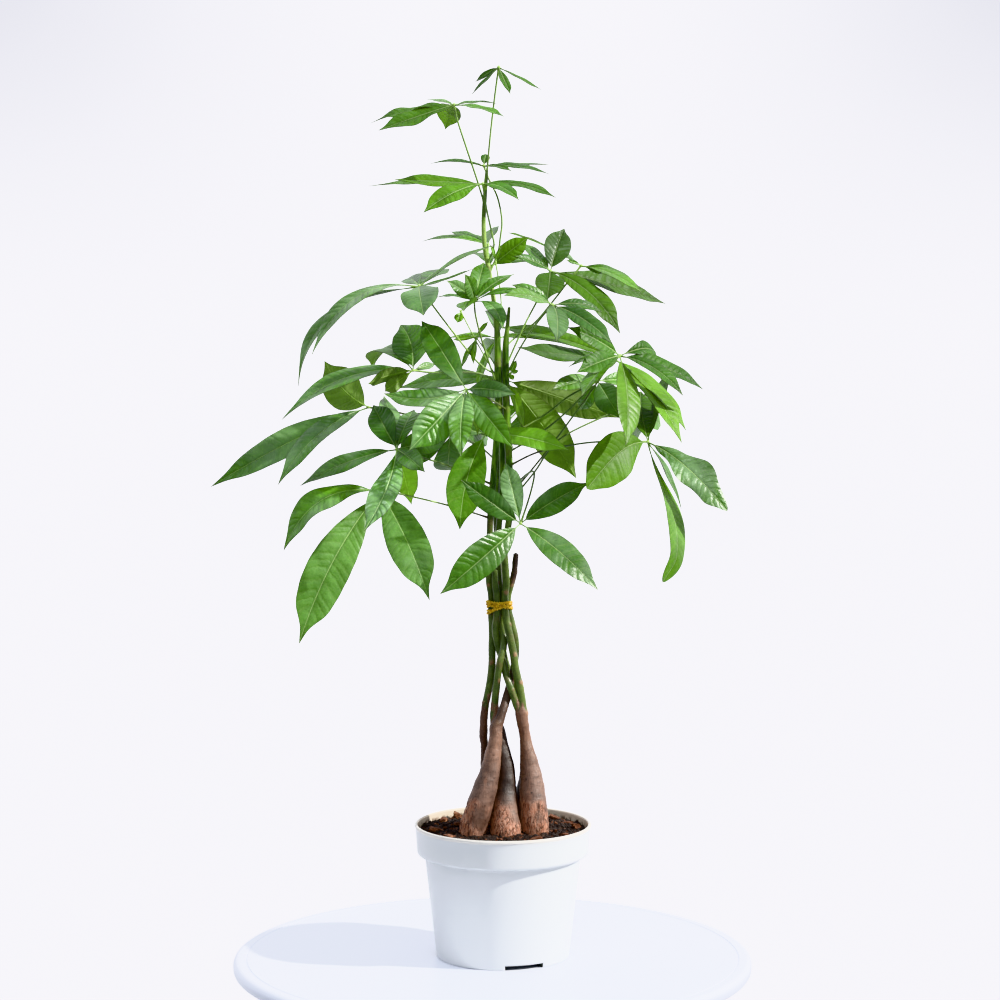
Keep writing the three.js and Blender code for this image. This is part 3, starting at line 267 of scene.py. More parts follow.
# Each leaf: its petiole from the stem out to the hub, [across, height, toward], its leaflets
# [tip across, height, toward, width seen from the front (negative where the underside shows),
# rise of the midrib, sideways sweep, skew of the bend], and young shoots that stand beside it.
LEAVES = [
    {    # 01, the topmost young leaf
        "path": [[-15.3, 748, -3], [-12, 785, 0], [-8, 820, 2], [-4, 850, 4]],
        "leaflets": [
            [-26, 836, -10, 5, 1], [-29, 825, 18, 3, 0], [7, 825, 26, 8, 0], [36, 829, -4, 3, 0],
        ],
    },
    {    # 02
        "path": [[-17.5, 722, -3], [-23.5, 742, 4], [-34.5, 775, 14], [-43, 801, 20], [-46, 815, 22]],
        "leaflets": [
            [-124, 798, 10, 6, 3.5], [-117, 791, 50, 13, 0.5], [-54, 792, -40, -24, 4, 2.5],
            [1, 804, 48, 4, 2.5], [-6, 816, 6, 3, 2], [-71, 820, -12, 3, 1],
        ],
    },
    {    # 03
        "path": [
            [-13, 657, -2], [-5, 675, -3], [-2.5, 690, -1], [-1, 707, -1], [-5, 728, -4],
            [-13, 745, -10], [-18, 758, -13],
        ],
        "leaflets": [
            [-68, 760, -34, 3, 3], [-51, 763, -56, 2, 0.5], [8, 753, 8, 4, 2], [44, 750, -22, 6, 3.5],
            [43, 759, -52, 3, 0.5], [-16, 769, -26, 9, 1],
        ],
    },
    {    # 04
        "path": [[-14.5, 666, -2], [-8.5, 682, 5], [-11, 697, 8], [-15.5, 718, 11], [-19, 741, 11]],
        "leaflets": [
            [-102, 745, 28, 10, 0], [-126, 739, -20, 3, 2], [-75, 714, 64, 17, 6],
            [37, 738, -2, 4, 2.5], [50, 728, 30, 6, 6], [15, 726, 58, 9, 5],
        ],
    },
    {    # 05
        "path": [[-13, 656, -2], [-14, 672, -16], [-14, 684, -26]],
        "leaflets": [
            [-76, 687, -44, 4, 5], [-50, 696, -72, 5, 2], [-9, 700, -92, 13, 2, -1],
        ],
    },
    {    # 06, the arching leaf on the left
        "path": [[-5, 560, 4], [-22, 571, 10], [-40, 592, 18], [-66, 626, 32], [-79, 645, 36]],
        "leaflets": [
            [-194, 550, 56, 7, 31, 0, 0.25], [-181, 580, 84, 11, 24], [-6, 684, 14, 4, 4],
            [-75, 617, 104, 36, 6], [-57, 661, -70, 13, 2], [-90, 652, -28, 14, 3],
            [-29, 661, 60, 3, -2],
        ],
    },
    {    # 07
        "path": [[-5, 548, 5], [-15, 578, 24], [-21, 597, 36], [-26, 618, 46], [-27, 631, 50]],
        "leaflets": [
            [-18, 667, 8, 19, 3], [11, 656, 28, 9, 4], [-53, 650, 84, 12, 3], [0, 604, 100, 10, 5, 4],
            [20, 640, 66, 4, 4], [-63, 634, 30, 3, 3], [-37, 621, 118, 7, 4], [-36, 656, 96, 12, 2],
        ],
    },
    {    # 08
        "path": [
            [3, 568, -1], [10, 585, -6], [22, 611, -13], [33, 632, -22], [41, 650, -28], [45, 659, -30],
        ],
        "leaflets": [
            [58, 699, -60, 26, 3, 1], [154, 628, -104, 14, 4], [111, 600, 8, 18, 12],
            [17, 686, -62, 9, 2], [11, 673, -6, 8, 3], [42, 632, 40, 28, 4],
        ],
    },
    {    # 09
        "path": [
            [3, 588, -1], [14, 598, -17], [31, 611, -26], [47, 630, -30], [61, 648, -31],
            [74, 664, -31],
        ],
        "leaflets": [
            [96, 660, -44, 9, 9], [131, 639, -4, 6, 5], [128, 645, -50, 5, 5], [5, 695, -150, 3, 3],
            [60, 669, -26, 4, 2],
        ],
    },
    {    # 10
        "path": [[3.5, 560, -1], [13, 580, 20], [25, 600, 42], [38, 617, 58], [47, 627, 64]],
        "leaflets": [
            [94, 620, 52, 9, 6], [104, 590, 104, 15, 6], [51, 592, 134, 20, 6], [8, 646, 70, 10, 5],
            [1, 636, 112, 9, 5],
        ],
    },
    {    # 11
        "path": [
            [7, 446, 1], [28, 471, 12], [50, 499, 24], [75, 533, 38], [98, 565, 50], [111, 579, 54],
        ],
        "leaflets": [
            [61, 606, 84, 16, 5], [145, 582, 10, 14, 10, 0, -0.3], [190, 547, 34, 13, 6],
            [171, 541, 84, 10, 8], [70, 563, 108, 19, 5], [62, 568, 40, 4, 5], [117, 494, 120, 22, 6],
            [75, 541, 130, 8, 4],
        ],
    },
    {    # 12, backlit behind the last
        "path": [[5, 487, 0], [38, 507, -10], [72, 537, -12], [104, 577, -8]],
        "leaflets": [
            [-8, 606, -88, 14, 6], [14, 587, 18, 12, 1, -3], [170, 496, 44, 16, 10],
            [174, 508, 26, 12, 8],
        ],
    },
    {    # 13
        "path": [[6, 474, 1], [30, 486, 12], [54, 492, 21], [90, 497, 36], [138, 497, 54]],
        "leaflets": [
            [80, 452, 112, 42, 6, 9, -0.4], [214, 431, 92, 26, 10, 1, -0.2],
            [159, 362, 104, 15, 8, 5, 0.8], [170, 433, 60, 4, 3], [131, 545, -44, 28, 4, -4],
            [153, 560, -84, 14, 3],
        ],
    },
    {    # 14, the open leaf low in front
        "path": [
            [6.5, 450, 1], [14, 458, 14], [24, 467, 36], [30, 467, 58], [26, 447, 80], [17, 419, 94],
        ],
        "leaflets": [
            [3, 477, 74, 21, 4], [-40, 461, 112, 22, 5], [82, 458, 86, 24, 6, 3],
            [-60, 351, 130, 32, 8], [91, 355, 126, 22, 8, -1],
        ],
    },
    {    # 15
        "path": [[-12, 424, 2], [-51, 436, 20], [-97, 447, 46], [-117, 450, 56]],
        "leaflets": [
            [-195, 303, 116, 41, 10, 8], [-70, 345, 122, 38, 8, 4.5], [-209, 393, 84, 20, 16, 10],
        ],
    },
    {    # 16
        "path": [[-9.5, 456, 3], [-52, 474, 36], [-80, 483, 60], [-101, 490, 74]],
        "leaflets": [
            [-193, 455, 64, 14, 6], [-132, 412, 140, 25, 8, -9], [-123, 532, 30, 26, 3],
            [-84, 528, 0, 20, 3], [-49, 504, 112, 24, 4], [-74, 468, 134, 18, 4],
            [-87, 437, 10, -26, 4], [-113, 541, -10, 14, 2],
        ],
    },
    {    # 17
        "path": [[2.5, 528, -1], [-6, 534, 30], [-18, 541, 70], [-29, 546, 104], [-35, 547, 118]],
        "leaflets": [
            [-77, 612, 60, 27, 4], [12, 542, 158, 15, 5], [10, 491, 160, 25, 6], [-40, 483, 176, 23, 7],
            [-89, 489, 160, 34, 7], [-113, 543, 96, 17, 2, -8], [-24, 503, 92, -10, 3],
        ],
    },
    {    # 18
        "path": [[-5, 498, 4], [-9, 502, 26], [-16, 505, 54]],
        "leaflets": [
            [-41, 413, 102, 35, 8, 6], [63, 489, 84, 18, 6], [-60, 516, 44, 14, 4],
        ],
    },
    {    # 19
        "path": [[-5.5, 500, 4], [-45, 512, -4], [-95, 524, -8], [-128, 530, -6]],
        "leaflets": [
            [-278, 454, 10, 26, 9], [-214, 456, 44, 18, 14], [-169, 574, -40, -38, 4, -6],
        ],
    },
    {    # 20
        "path": [[-4.5, 552, 4], [-22, 562, 10], [-45, 563, 18], [-68, 563, 26], [-85, 565, 30]],
        "leaflets": [
            [-210, 518, 50, 13, 18], [-97, 608, -18, 36, 3, 5], [-124, 566, -60, 6, 22],
            [-128, 552, 78, -14, 3], [-112, 545, 66, -14, 4], [-64, 571, 10, 7, 1],
        ],
    },
    {    # 21
        "path": [[-1, 528, -9], [0, 544, -28], [2, 556, -46]],
        "leaflets": [
            [110, 520, -94, -30, 8], [70, 462, -34, -38, 8, 3], [20, 510, -12, -10, 3],
            [-99, 548, -72, 14, 6], [-10, 540, -132, 16, 6],
        ],
    },
    {    # 22
        "path": [[-12, 652, -2], [-12, 658, -18], [-11, 664, -34]],
        "leaflets": [
            [24, 691, -26, 20, 3], [-24, 676, -92, 10, 3], [30, 668, -100, 8, 4],
        ],
        "sprigs": [
            {
                "path": [[-4, 606, 1], [-1.5, 618, 3], [-2.5, 640, 4], [-7, 668, 3]],
                "leaflets": [
                    [-12, 684, 6, 3, 1], [-1, 682, 6, 4, 1],
                ],
            },
        ],
    },
    {    # 23
        "path": [[0, 572, -9.5], [-2, 584, -24], [-5, 596, -40]],
        "leaflets": [
            [-52, 596, -58, 3, 2], [36, 594, -62, 5, 3], [-24, 546, -30, 8, 4], [-16, 622, -92, 8, 3],
            [-8, 574, -128, 14, 6],
        ],
        "sprigs": [
            {
                "path": [[-2, 560, -8], [-8, 571, 0], [-16, 583, 6], [-25, 596, 10]],
                "leaflets": [
                    [-39, 568, 14, 4, 1], [-28, 571, 22, 5, 1], [-47, 594, 2, 5, 1],
                    [-14, 611, 0, 4, 1],
                ],
            },
            {
                "path": [[-2, 552, -8], [-12, 569, 4], [-26, 594, 10], [-40, 621, 12]],
                "leaflets": [
                    [-43, 610, 18, 9, 1], [-31, 628, 8, 3, 1],
                ],
            },
            {
                "path": [[-1, 548, -8], [4, 556, 2], [7, 562, 6]],
                "leaflets": [
                    [13, 575, 10, 6, 1], [10, 556, 14, 5, 0], [15, 565, 6, 4, 1],
                ],
            },
        ],
    },
    {    # 24
        "path": [[4.6, 502, 0], [40, 523, -16], [62, 540, -28], [90, 555, -42]],
        "leaflets": [
            [46, 546, 12, 14, 4], [112, 519, 6, 26, 4], [74, 528, -70, 14, 5], [132, 552, -80, 14, 5],
        ],
    },
    {    # 25
        "path": [[7, 440, 2], [30, 468, -10], [53, 499, -22], [100, 523, -44], [118, 531, -52]],
        "leaflets": [
            [150, 512, -110, 18, 6], [126, 496, -122, 18, 6], [160, 535, -90, 14, 5],
        ],
    },
    {    # 26, at the back on the left
        "path": [[-5.5, 478, -18], [-24, 494, -52], [-50, 506, -92]],
        "leaflets": [
            [-98, 482, -150, 30, 8], [-52, 470, -190, 30, 10], [-14, 500, -170, 22, 7],
            [-92, 524, -90, 14, 5],
        ],
    },
    {    # 27, at the back
        "path": [[-4, 508, -19.5], [8, 520, -60], [18, 530, -104]],
        "leaflets": [
            [46, 496, -170, 24, 8], [14, 494, -206, 32, 10], [-16, 520, -170, 22, 7],
            [38, 520, -140, 16, 6],
        ],
    },
]

# Ranges of what is drawn evenly for each leaflet, in this order. fold and wave: rise of the halves
# and of the margin. twist: turn along the blade. late: above 1 it is widest further out. blunt: round
# tip. quilt: rise between the veins. matt: lack of gloss.
SPREAD = {
    "fold": (0.13, 0.26), "wave": (0.015, 0.045), "twist": (-0.18, 0.18), "late": (0.95, 1.15),
    "blunt": (0.0, 0.2), "quilt": (0.4, 1.0), "matt": (0.0, 0.4),
}

# How single leaflets differ from what is drawn, by leaf and leaflet. Leaf 0 stands for the young
# shoots, and leaflet 0 for a whole leaf. fresh: young green. light: brightness, with painted light
# on leaflets that lie in the sun and painted shade on those in shade. painted_gloss: pale glints
# painted on the crests, past 0.85 a pale sheen painted over the blade, both standing in for
# reflections. hook: shift of the tip. drip: slimness of the tip. ripple: uneven outline.
TOUCHES = {
    (0, 0): dict(fresh=0.95, light=1.35, painted_gloss=0),
    (1, 0): dict(fresh=0.2, light=0.72, matt=0.7, painted_gloss=0),
    (2, 1): dict(ripple=0.1, wave=0.1, light=0.75, fresh=0.35, matt=0.8),
    (2, 2): dict(ripple=0.08, wave=0.06, light=0.7, fresh=0.35, twist=0, matt=0.8),
    (3, 0): dict(fresh=0.1, light=0.75, matt=0.6, painted_gloss=0),
    (4, 0): dict(matt=0.8),
    (4, 1): dict(fresh=0.6, light=0.8),
    (4, 3): dict(fresh=0.5, light=0.9),
    (4, 5): dict(fresh=0.2, light=0.7, twist=0, fold=0.1),
    (6, 4): dict(painted_gloss=1, fresh=0, light=0.85, quilt=0.4),
    (6, 6): dict(painted_gloss=1.05, fresh=0, light=0.9, quilt=0.4),
    (7, 1): dict(fresh=0.2, light=0.95),
    (8, 1): dict(fresh=0.35, light=0.5, painted_gloss=0.5),
    (8, 2): dict(fresh=0.6, light=0.5, matt=0.6, painted_gloss=0.4),
    (8, 3): dict(fresh=0.6, light=0.58, matt=0.8, painted_gloss=0),
    (8, 6): dict(fresh=0.5, light=0.5, matt=0.8),
    (10, 1): dict(fresh=0.05, light=0.75, painted_gloss=0),
    (10, 2): dict(fresh=0, light=0.7, painted_gloss=0),
    (10, 3): dict(fresh=0.05, light=0.75, painted_gloss=0),
    (11, 1): dict(fresh=0.15, light=0.85, painted_gloss=0, matt=0.6),
    (11, 2): dict(fresh=0.05, light=0.75, painted_gloss=0, matt=0.8),
    (11, 3): dict(fresh=0.05, light=0.7, painted_gloss=0, matt=0.7),
    (11, 4): dict(fresh=0.1, light=0.75, painted_gloss=0, matt=0.7),
    (11, 5): dict(fresh=0.15, light=0.8, painted_gloss=0, matt=0.7),
    (11, 7): dict(fresh=0.9, light=0.78, matt=0.5, quilt=0.5, painted_gloss=0),
    (12, 1): dict(fresh=0.7, light=0.85, matt=0.6),
    (12, 2): dict(fresh=0.45, light=0.55, painted_gloss=0),
    (12, 3): dict(fresh=0.95, light=0.95, quilt=0.4, painted_gloss=0, matt=0.7),
    (12, 4): dict(fresh=0.95, light=0.95, quilt=0.4, painted_gloss=0, matt=0.7),
    (13, 1): dict(late=1.1, blunt=0.75, fresh=0.8, light=0.75, quilt=0.3, matt=0.8, painted_gloss=0),
    (13, 2): dict(ripple=0.17, blunt=0.7, wave=0.12, fresh=0.15, painted_gloss=0.8, quilt=0.6, late=1.1,
        light=0.8, matt=0),
    (13, 3): dict(late=1.3, blunt=0.95, fresh=0.6, hook=(-8, 2), quilt=0.3, painted_gloss=0, drip=0, twist=0,
        fold=0.1),
    (13, 5): dict(fresh=0.5, light=0.6, matt=1, painted_gloss=0),
    (13, 6): dict(fresh=0.5, light=0.6, matt=1, painted_gloss=0),
    (14, 1): dict(painted_gloss=1.2, fresh=0.1, light=1),
    (14, 2): dict(fresh=0, light=0.78, painted_gloss=0, quilt=0.6),
    (14, 3): dict(fresh=0.05, light=0.85, quilt=0.6),
    (14, 4): dict(fresh=0.12, light=0.84, quilt=0.8, painted_gloss=0),
    (14, 5): dict(fresh=0.05, light=0.8),
    (15, 1): dict(painted_gloss=0.97, fresh=0.25, light=0.94, late=1.12, wave=0.03, matt=0.6, quilt=0.6,
        drip=0.4),
    (15, 2): dict(painted_gloss=1, fresh=0.2, light=1, late=1, matt=0.5, quilt=0.6, drip=0.4),
    (15, 3): dict(fresh=0.25, wave=0.07, ripple=0.08),
    (16, 1): dict(painted_gloss=0, fresh=0, light=0.75),
    (16, 2): dict(painted_gloss=0.84, fresh=0.1, light=1.45, quilt=1.4),
    (16, 3): dict(fresh=0, light=0.8, blunt=0.2),
    (16, 7): dict(fresh=1, light=2.3, matt=1),
    (17, 1): dict(fresh=0.15, light=0.85, quilt=0.3),
    (17, 4): dict(painted_gloss=0.9, light=1.2, quilt=1.3),
    (17, 3): dict(fresh=0.3, light=1.15),
    (17, 5): dict(quilt=1.3, fresh=0.15, light=1.15),
    (18, 1): dict(fresh=0.25, light=0.95, matt=0.8, quilt=0.3, painted_gloss=0),
    (18, 2): dict(fresh=0.6, light=1.1),
    (19, 1): dict(fresh=0.05, painted_gloss=0.3, light=0.85),
    (19, 2): dict(fresh=0.05, painted_gloss=0.5, light=0.9),
    (20, 2): dict(fresh=0.15, light=0.95, blunt=0.3),
    (21, 1): dict(fresh=0.1, light=0.8),
    (21, 2): dict(fresh=0.25, light=1),
    (21, 3): dict(fresh=0.9, light=1.4),
    (22, 1): dict(fresh=0.8, light=1),
    (23, 1): dict(fresh=1, light=1.3),
    (23, 2): dict(fresh=1, light=1.3),
    (23, 3): dict(fresh=1, light=1.3),
    (24, 2): dict(fresh=0, light=0.85),
    (26, 1): dict(painted_gloss=0, light=0.75, matt=0.8),
    (26, 2): dict(painted_gloss=0, light=0.75, matt=0.8),
    (27, 2): dict(painted_gloss=0, light=0.8, matt=0.8),
}

# Turns of the tie: height, lean across, lean in depth, ease outward.
TIE_TURNS = [
    [343, 0.2, -0.6, 0.2], [340.6, 1.6, 0.8, 0], [338.2, 3.2, -0.4, 0.1], [336.8, 4.4, 0.6, 0.2],
    [340.4, -3.6, 0.8, 0.7], [339.8, -1.6, -1, 0.6],
]

# Large bark chips: across, toward the front, length, width, height, turn, tip.
CHIPS = [
    (-42, -58, 13, 5, 5, 0.4, 0.6), (-58, -42, 9, 6, 4, 1.2, -0.3), (62, -30, 12, 7, 5, 2.1, 0.3),
    (71, -6, 10, 6, 5, 0.7, 0.5), (52, -52, 12, 6, 4, 2.6, -0.4), (-64, 8, 11, 7, 4, 0.2, 0.3),
    (-50, 36, 13, 7, 4, 0.9, 0.2), (-14, 58, 12, 7, 4, 2.4, 0.2), (30, 50, 13, 6, 4, 0.3, -0.3),
    (58, 24, 11, 7, 4, 1.7, 0.3), (-2, -52, 12, 6, 4, 1, 0.3), (14, -66, 10, 6, 4, 2.2, 0.4),
    (-30, -68, 11, 6, 5, 2.9, -0.4), (38, -6, 10, 6, 3, 0.5, 0.3), (-44, -14, 11, 6, 4, 1.5, 0.2),
]


def tint(name, description, default):
    """A colour for the panel."""
    return FloatVectorProperty(
        name=name, description=description, default=default, subtype="COLOR", min=0.0, max=1.0,
    )


def metres(name, description, default, **limits):
    """A length for the panel."""
    return FloatProperty(name=name, description=description, default=default, unit="LENGTH", **limits)


def strength(name, description, default):
    """A number from 0 up for the panel."""
    return FloatProperty(name=name, description=description, default=default, min=0.0)


class PlantSettings(bpy.types.PropertyGroup):
    """Colours and detail of the plant."""

    blade_step: metres("Blade step", "Distance between two rows of a leaflet's mesh", 0.0017, min=0.0008)
    blade_columns: IntProperty(
        name="Blade columns", description="Mesh columns across a leaflet", default=12, min=4, max=24,
    )
    vein_depth: metres("Vein depth", "How far the veins sink between the raised tissue", 0.0004)
    leaf_dark: tint("Leaf, dark", "Colour of a grown leaf's upper face", (0.043, 0.142, 0.024))
    leaf_fresh: tint("Leaf, fresh", "Colour of a young leaf's upper face", (0.12, 0.285, 0.022))
    leaf_under: tint("Leaf, underside", "Colour of the matt underside", (0.17, 0.24, 0.07))
    leaf_glow: tint("Leaf, light through", "Colour of light passing through a blade", (0.4, 0.66, 0.08))
    vein_pale: tint("Veins", "Colour of the veins and petioles", (0.34, 0.52, 0.12))
    stem_green: tint("Stem, green", "Colour of the upper stems", (0.035, 0.055, 0.014))
    bark_brown: tint("Bark", "Colour of the swollen bases", (0.145, 0.085, 0.062))
    bark_orange: tint("Bark flakes", "Colour of the flaking bark at the foot", (0.32, 0.13, 0.075))
    tie_gold: tint("Tie", "Colour of the twist wire's coating", (0.92, 0.64, 0.06))


class PotSettings(bpy.types.PropertyGroup):
    """Sizes and colours of the pot and its soil."""

    rim_radius: metres("Rim radius", "Radius over the rolled rim", RIM_RADIUS * MM)
    height: metres("Height", "Height over the rim", POT_HEIGHT * MM)
    white: tint("Pot", "Colour of the moulded plastic", (0.575, 0.592, 0.605))
    # Inner wall colour: stain, and painted warm light through and off the wall.
    inside: tint("Pot, inside", "Colour of the stained inner wall", (0.62, 0.53, 0.42))
    crumbs: strength("Crumb density", "Crumbs of soil for each square metre", 200000.0)
    soil_dark: tint("Soil", "Colour of the damp potting mix", (0.016, 0.009, 0.007))
    chip_brown: tint("Bark chips", "Colour of the chips in the soil", (0.11, 0.04, 0.02))


class StageSettings(bpy.types.PropertyGroup):
    """The table the pot stands on, and the light."""

    table_radius: metres("Table radius", "Radius of the round table top", 0.25)
    sun_from: FloatVectorProperty(
        name="Sun from", description="Direction that the sunlight comes from", subtype="DIRECTION",
        default=(0.78, -0.21, 0.6),
    )
    sun_strength: strength("Sun", "Strength of the sunlight", 7.3)
    sky_strength: strength("Room light", "Strength of the pale room's own light", 1.0)


class Signal:
    """One output in a node tree. Plus, minus and times add a math node to it."""

    def __init__(self, wiring, socket):
        self.wiring = wiring
        self.socket = socket

    def __add__(self, other):
        return self.wiring.math("ADD", self, other)

    def __sub__(self, other):
        return self.wiring.math("SUBTRACT", self, other)

    def __rsub__(self, other):
        return self.wiring.math("SUBTRACT", other, self)

    def __mul__(self, other):
        return self.wiring.math("MULTIPLY", self, other)


class Wiring:
    """A node tree being wired: each call adds one node, and inputs are signals or plain values."""

    def __init__(self, tree):
        self.tree = tree
        tree.nodes.clear()

    def node(self, kind, inputs=None, **settings):
        """A new node with its settings and inputs."""
        made = self.tree.nodes.new(kind)
        for name, value in settings.items():
            setattr(made, name, value)
        for key, value in (inputs or {}).items():
            socket = made.inputs[key]
            if isinstance(value, Signal):
                self.tree.links.new(value.socket, socket)
            elif socket.type == "RGBA" and len(value) == 3:
                socket.default_value = (*value, 1.0)
            else:
                socket.default_value = value
        return made

    def get(self, kind, inputs=None, output=0, **settings):
        """One output of a new node."""
        return Signal(self, self.node(kind, inputs, **settings).outputs[output])

    def math(self, operation, a, b=0.0):
        """Two numbers brought together."""
        return self.get("ShaderNodeMath", {0: a, 1: b}, operation=operation)

    def vector(self, operation, a, b):
        """Two vectors brought together."""
        return self.get("ShaderNodeVectorMath", {0: a, 1: b}, operation=operation)

    def scale(self, vector, factor):
        """A vector or colour times a number."""
        return self.get("ShaderNodeVectorMath", {0: vector, 3: factor}, operation="SCALE")

    def step(self, value, low, high, first=0.0, last=1.0):
        """Goes smoothly from first to last as the value goes from low to high."""
        span = {"Value": value, "From Min": low, "From Max": high, "To Min": first, "To Max": last}
        return self.get("ShaderNodeMapRange", span, interpolation_type="SMOOTHSTEP")

    def mix(self, factor, a, b):
        """Two colours blended."""
        return self.get("ShaderNodeMix", {0: factor, 6: a, 7: b}, 2, data_type="RGBA")

    def split(self, vector):
        """The three parts of a vector."""
        return [Signal(self, part) for part in self.node("ShaderNodeSeparateXYZ", {0: vector}).outputs]

    def value(self, name):
        """A mesh attribute that is a number."""
        return self.get("ShaderNodeAttribute", output="Fac", attribute_name=name)

    def values(self, name):
        """The three numbers of a mesh attribute that is a vector."""
        return self.split(self.get("ShaderNodeAttribute", output="Vector", attribute_name=name))

    def noise(self, vector, scale, detail=3.0, roughness=0.55):
        """Soft noise around 0.5."""
        inputs = {"Vector": vector, "Scale": scale, "Detail": detail, "Roughness": roughness}
        return self.get("ShaderNodeTexNoise", inputs)

    def spots(self, vector, scale, detail, roughness, *span):
        """Noise cut to spots by a step."""
        return self.step(self.noise(vector, scale, detail, roughness), *span)

    def mottle(self, vector, broad, fine, balance):
        """The shared cloudy variation, and its fine part alone."""
        inputs = {"Vector": vector, "Broad": broad, "Fine": fine, "Balance": balance}
        made = self.node("ShaderNodeGroup", inputs, node_tree=mottle_group())
        return Signal(self, made.outputs["Value"]), Signal(self, made.outputs["Fine"])

    def bump(self, height, distance, strength):
        """A normal from a height."""
        return self.get("ShaderNodeBump", {"Height": height, "Distance": distance, "Strength": strength})


def new_group(name, kind, inputs, outputs):
    """A node group with these sockets: its tree, wiring and inputs by name."""
    tree = bpy.data.node_groups.new(name, kind)
    for label, sort, default in inputs:
        socket = tree.interface.new_socket(name=label, in_out="INPUT", socket_type=f"NodeSocket{sort}")
        if default is not None:
            socket.default_value = default
    for label, sort in outputs:
        tree.interface.new_socket(name=label, in_out="OUTPUT", socket_type=f"NodeSocket{sort}")
    w = Wiring(tree)
    given = w.node("NodeGroupInput").outputs
    return tree, w, {label: Signal(w, given[label]) for label, _, _ in inputs}


def mottle_group():
    """Two sizes of cloudy variation, shared by every finish."""
    if "mottle" in bpy.data.node_groups:
        return bpy.data.node_groups["mottle"]
    tree, w, given = new_group(
        "mottle", "ShaderNodeTree",
        [("Vector", "Vector", None), ("Broad", "Float", 60.0), ("Fine", "Float", 600.0),
         ("Balance", "Float", 0.4)],
        [("Value", "Float"), ("Fine", "Float")],
    )
    broad = w.noise(given["Vector"], given["Broad"], 4.0, 0.6)
    fine = w.noise(given["Vector"], given["Fine"], 3.0, 0.6)
    both = w.get("ShaderNodeMix", {0: given["Balance"], 2: broad, 3: fine}, data_type="FLOAT")
    w.node("NodeGroupOutput", {"Value": w.step(both, 0.3, 0.7), "Fine": fine})
    return tree


def start_material(name):
    """A new material, its wiring and the place on the object."""
    material = bpy.data.materials.new(name)
    material.use_nodes = True
    w = Wiring(material.node_tree)
    return material, w, w.get("ShaderNodeTexCoord", output="Object")


def close_material(material, w, colour, rough, **more):
    """Closes a material with one principled surface."""
    inputs = {"Base Color": colour, "Roughness": rough, **more}
    w.node("ShaderNodeOutputMaterial", {"Surface": w.get("ShaderNodeBsdfPrincipled", inputs)})
    return material


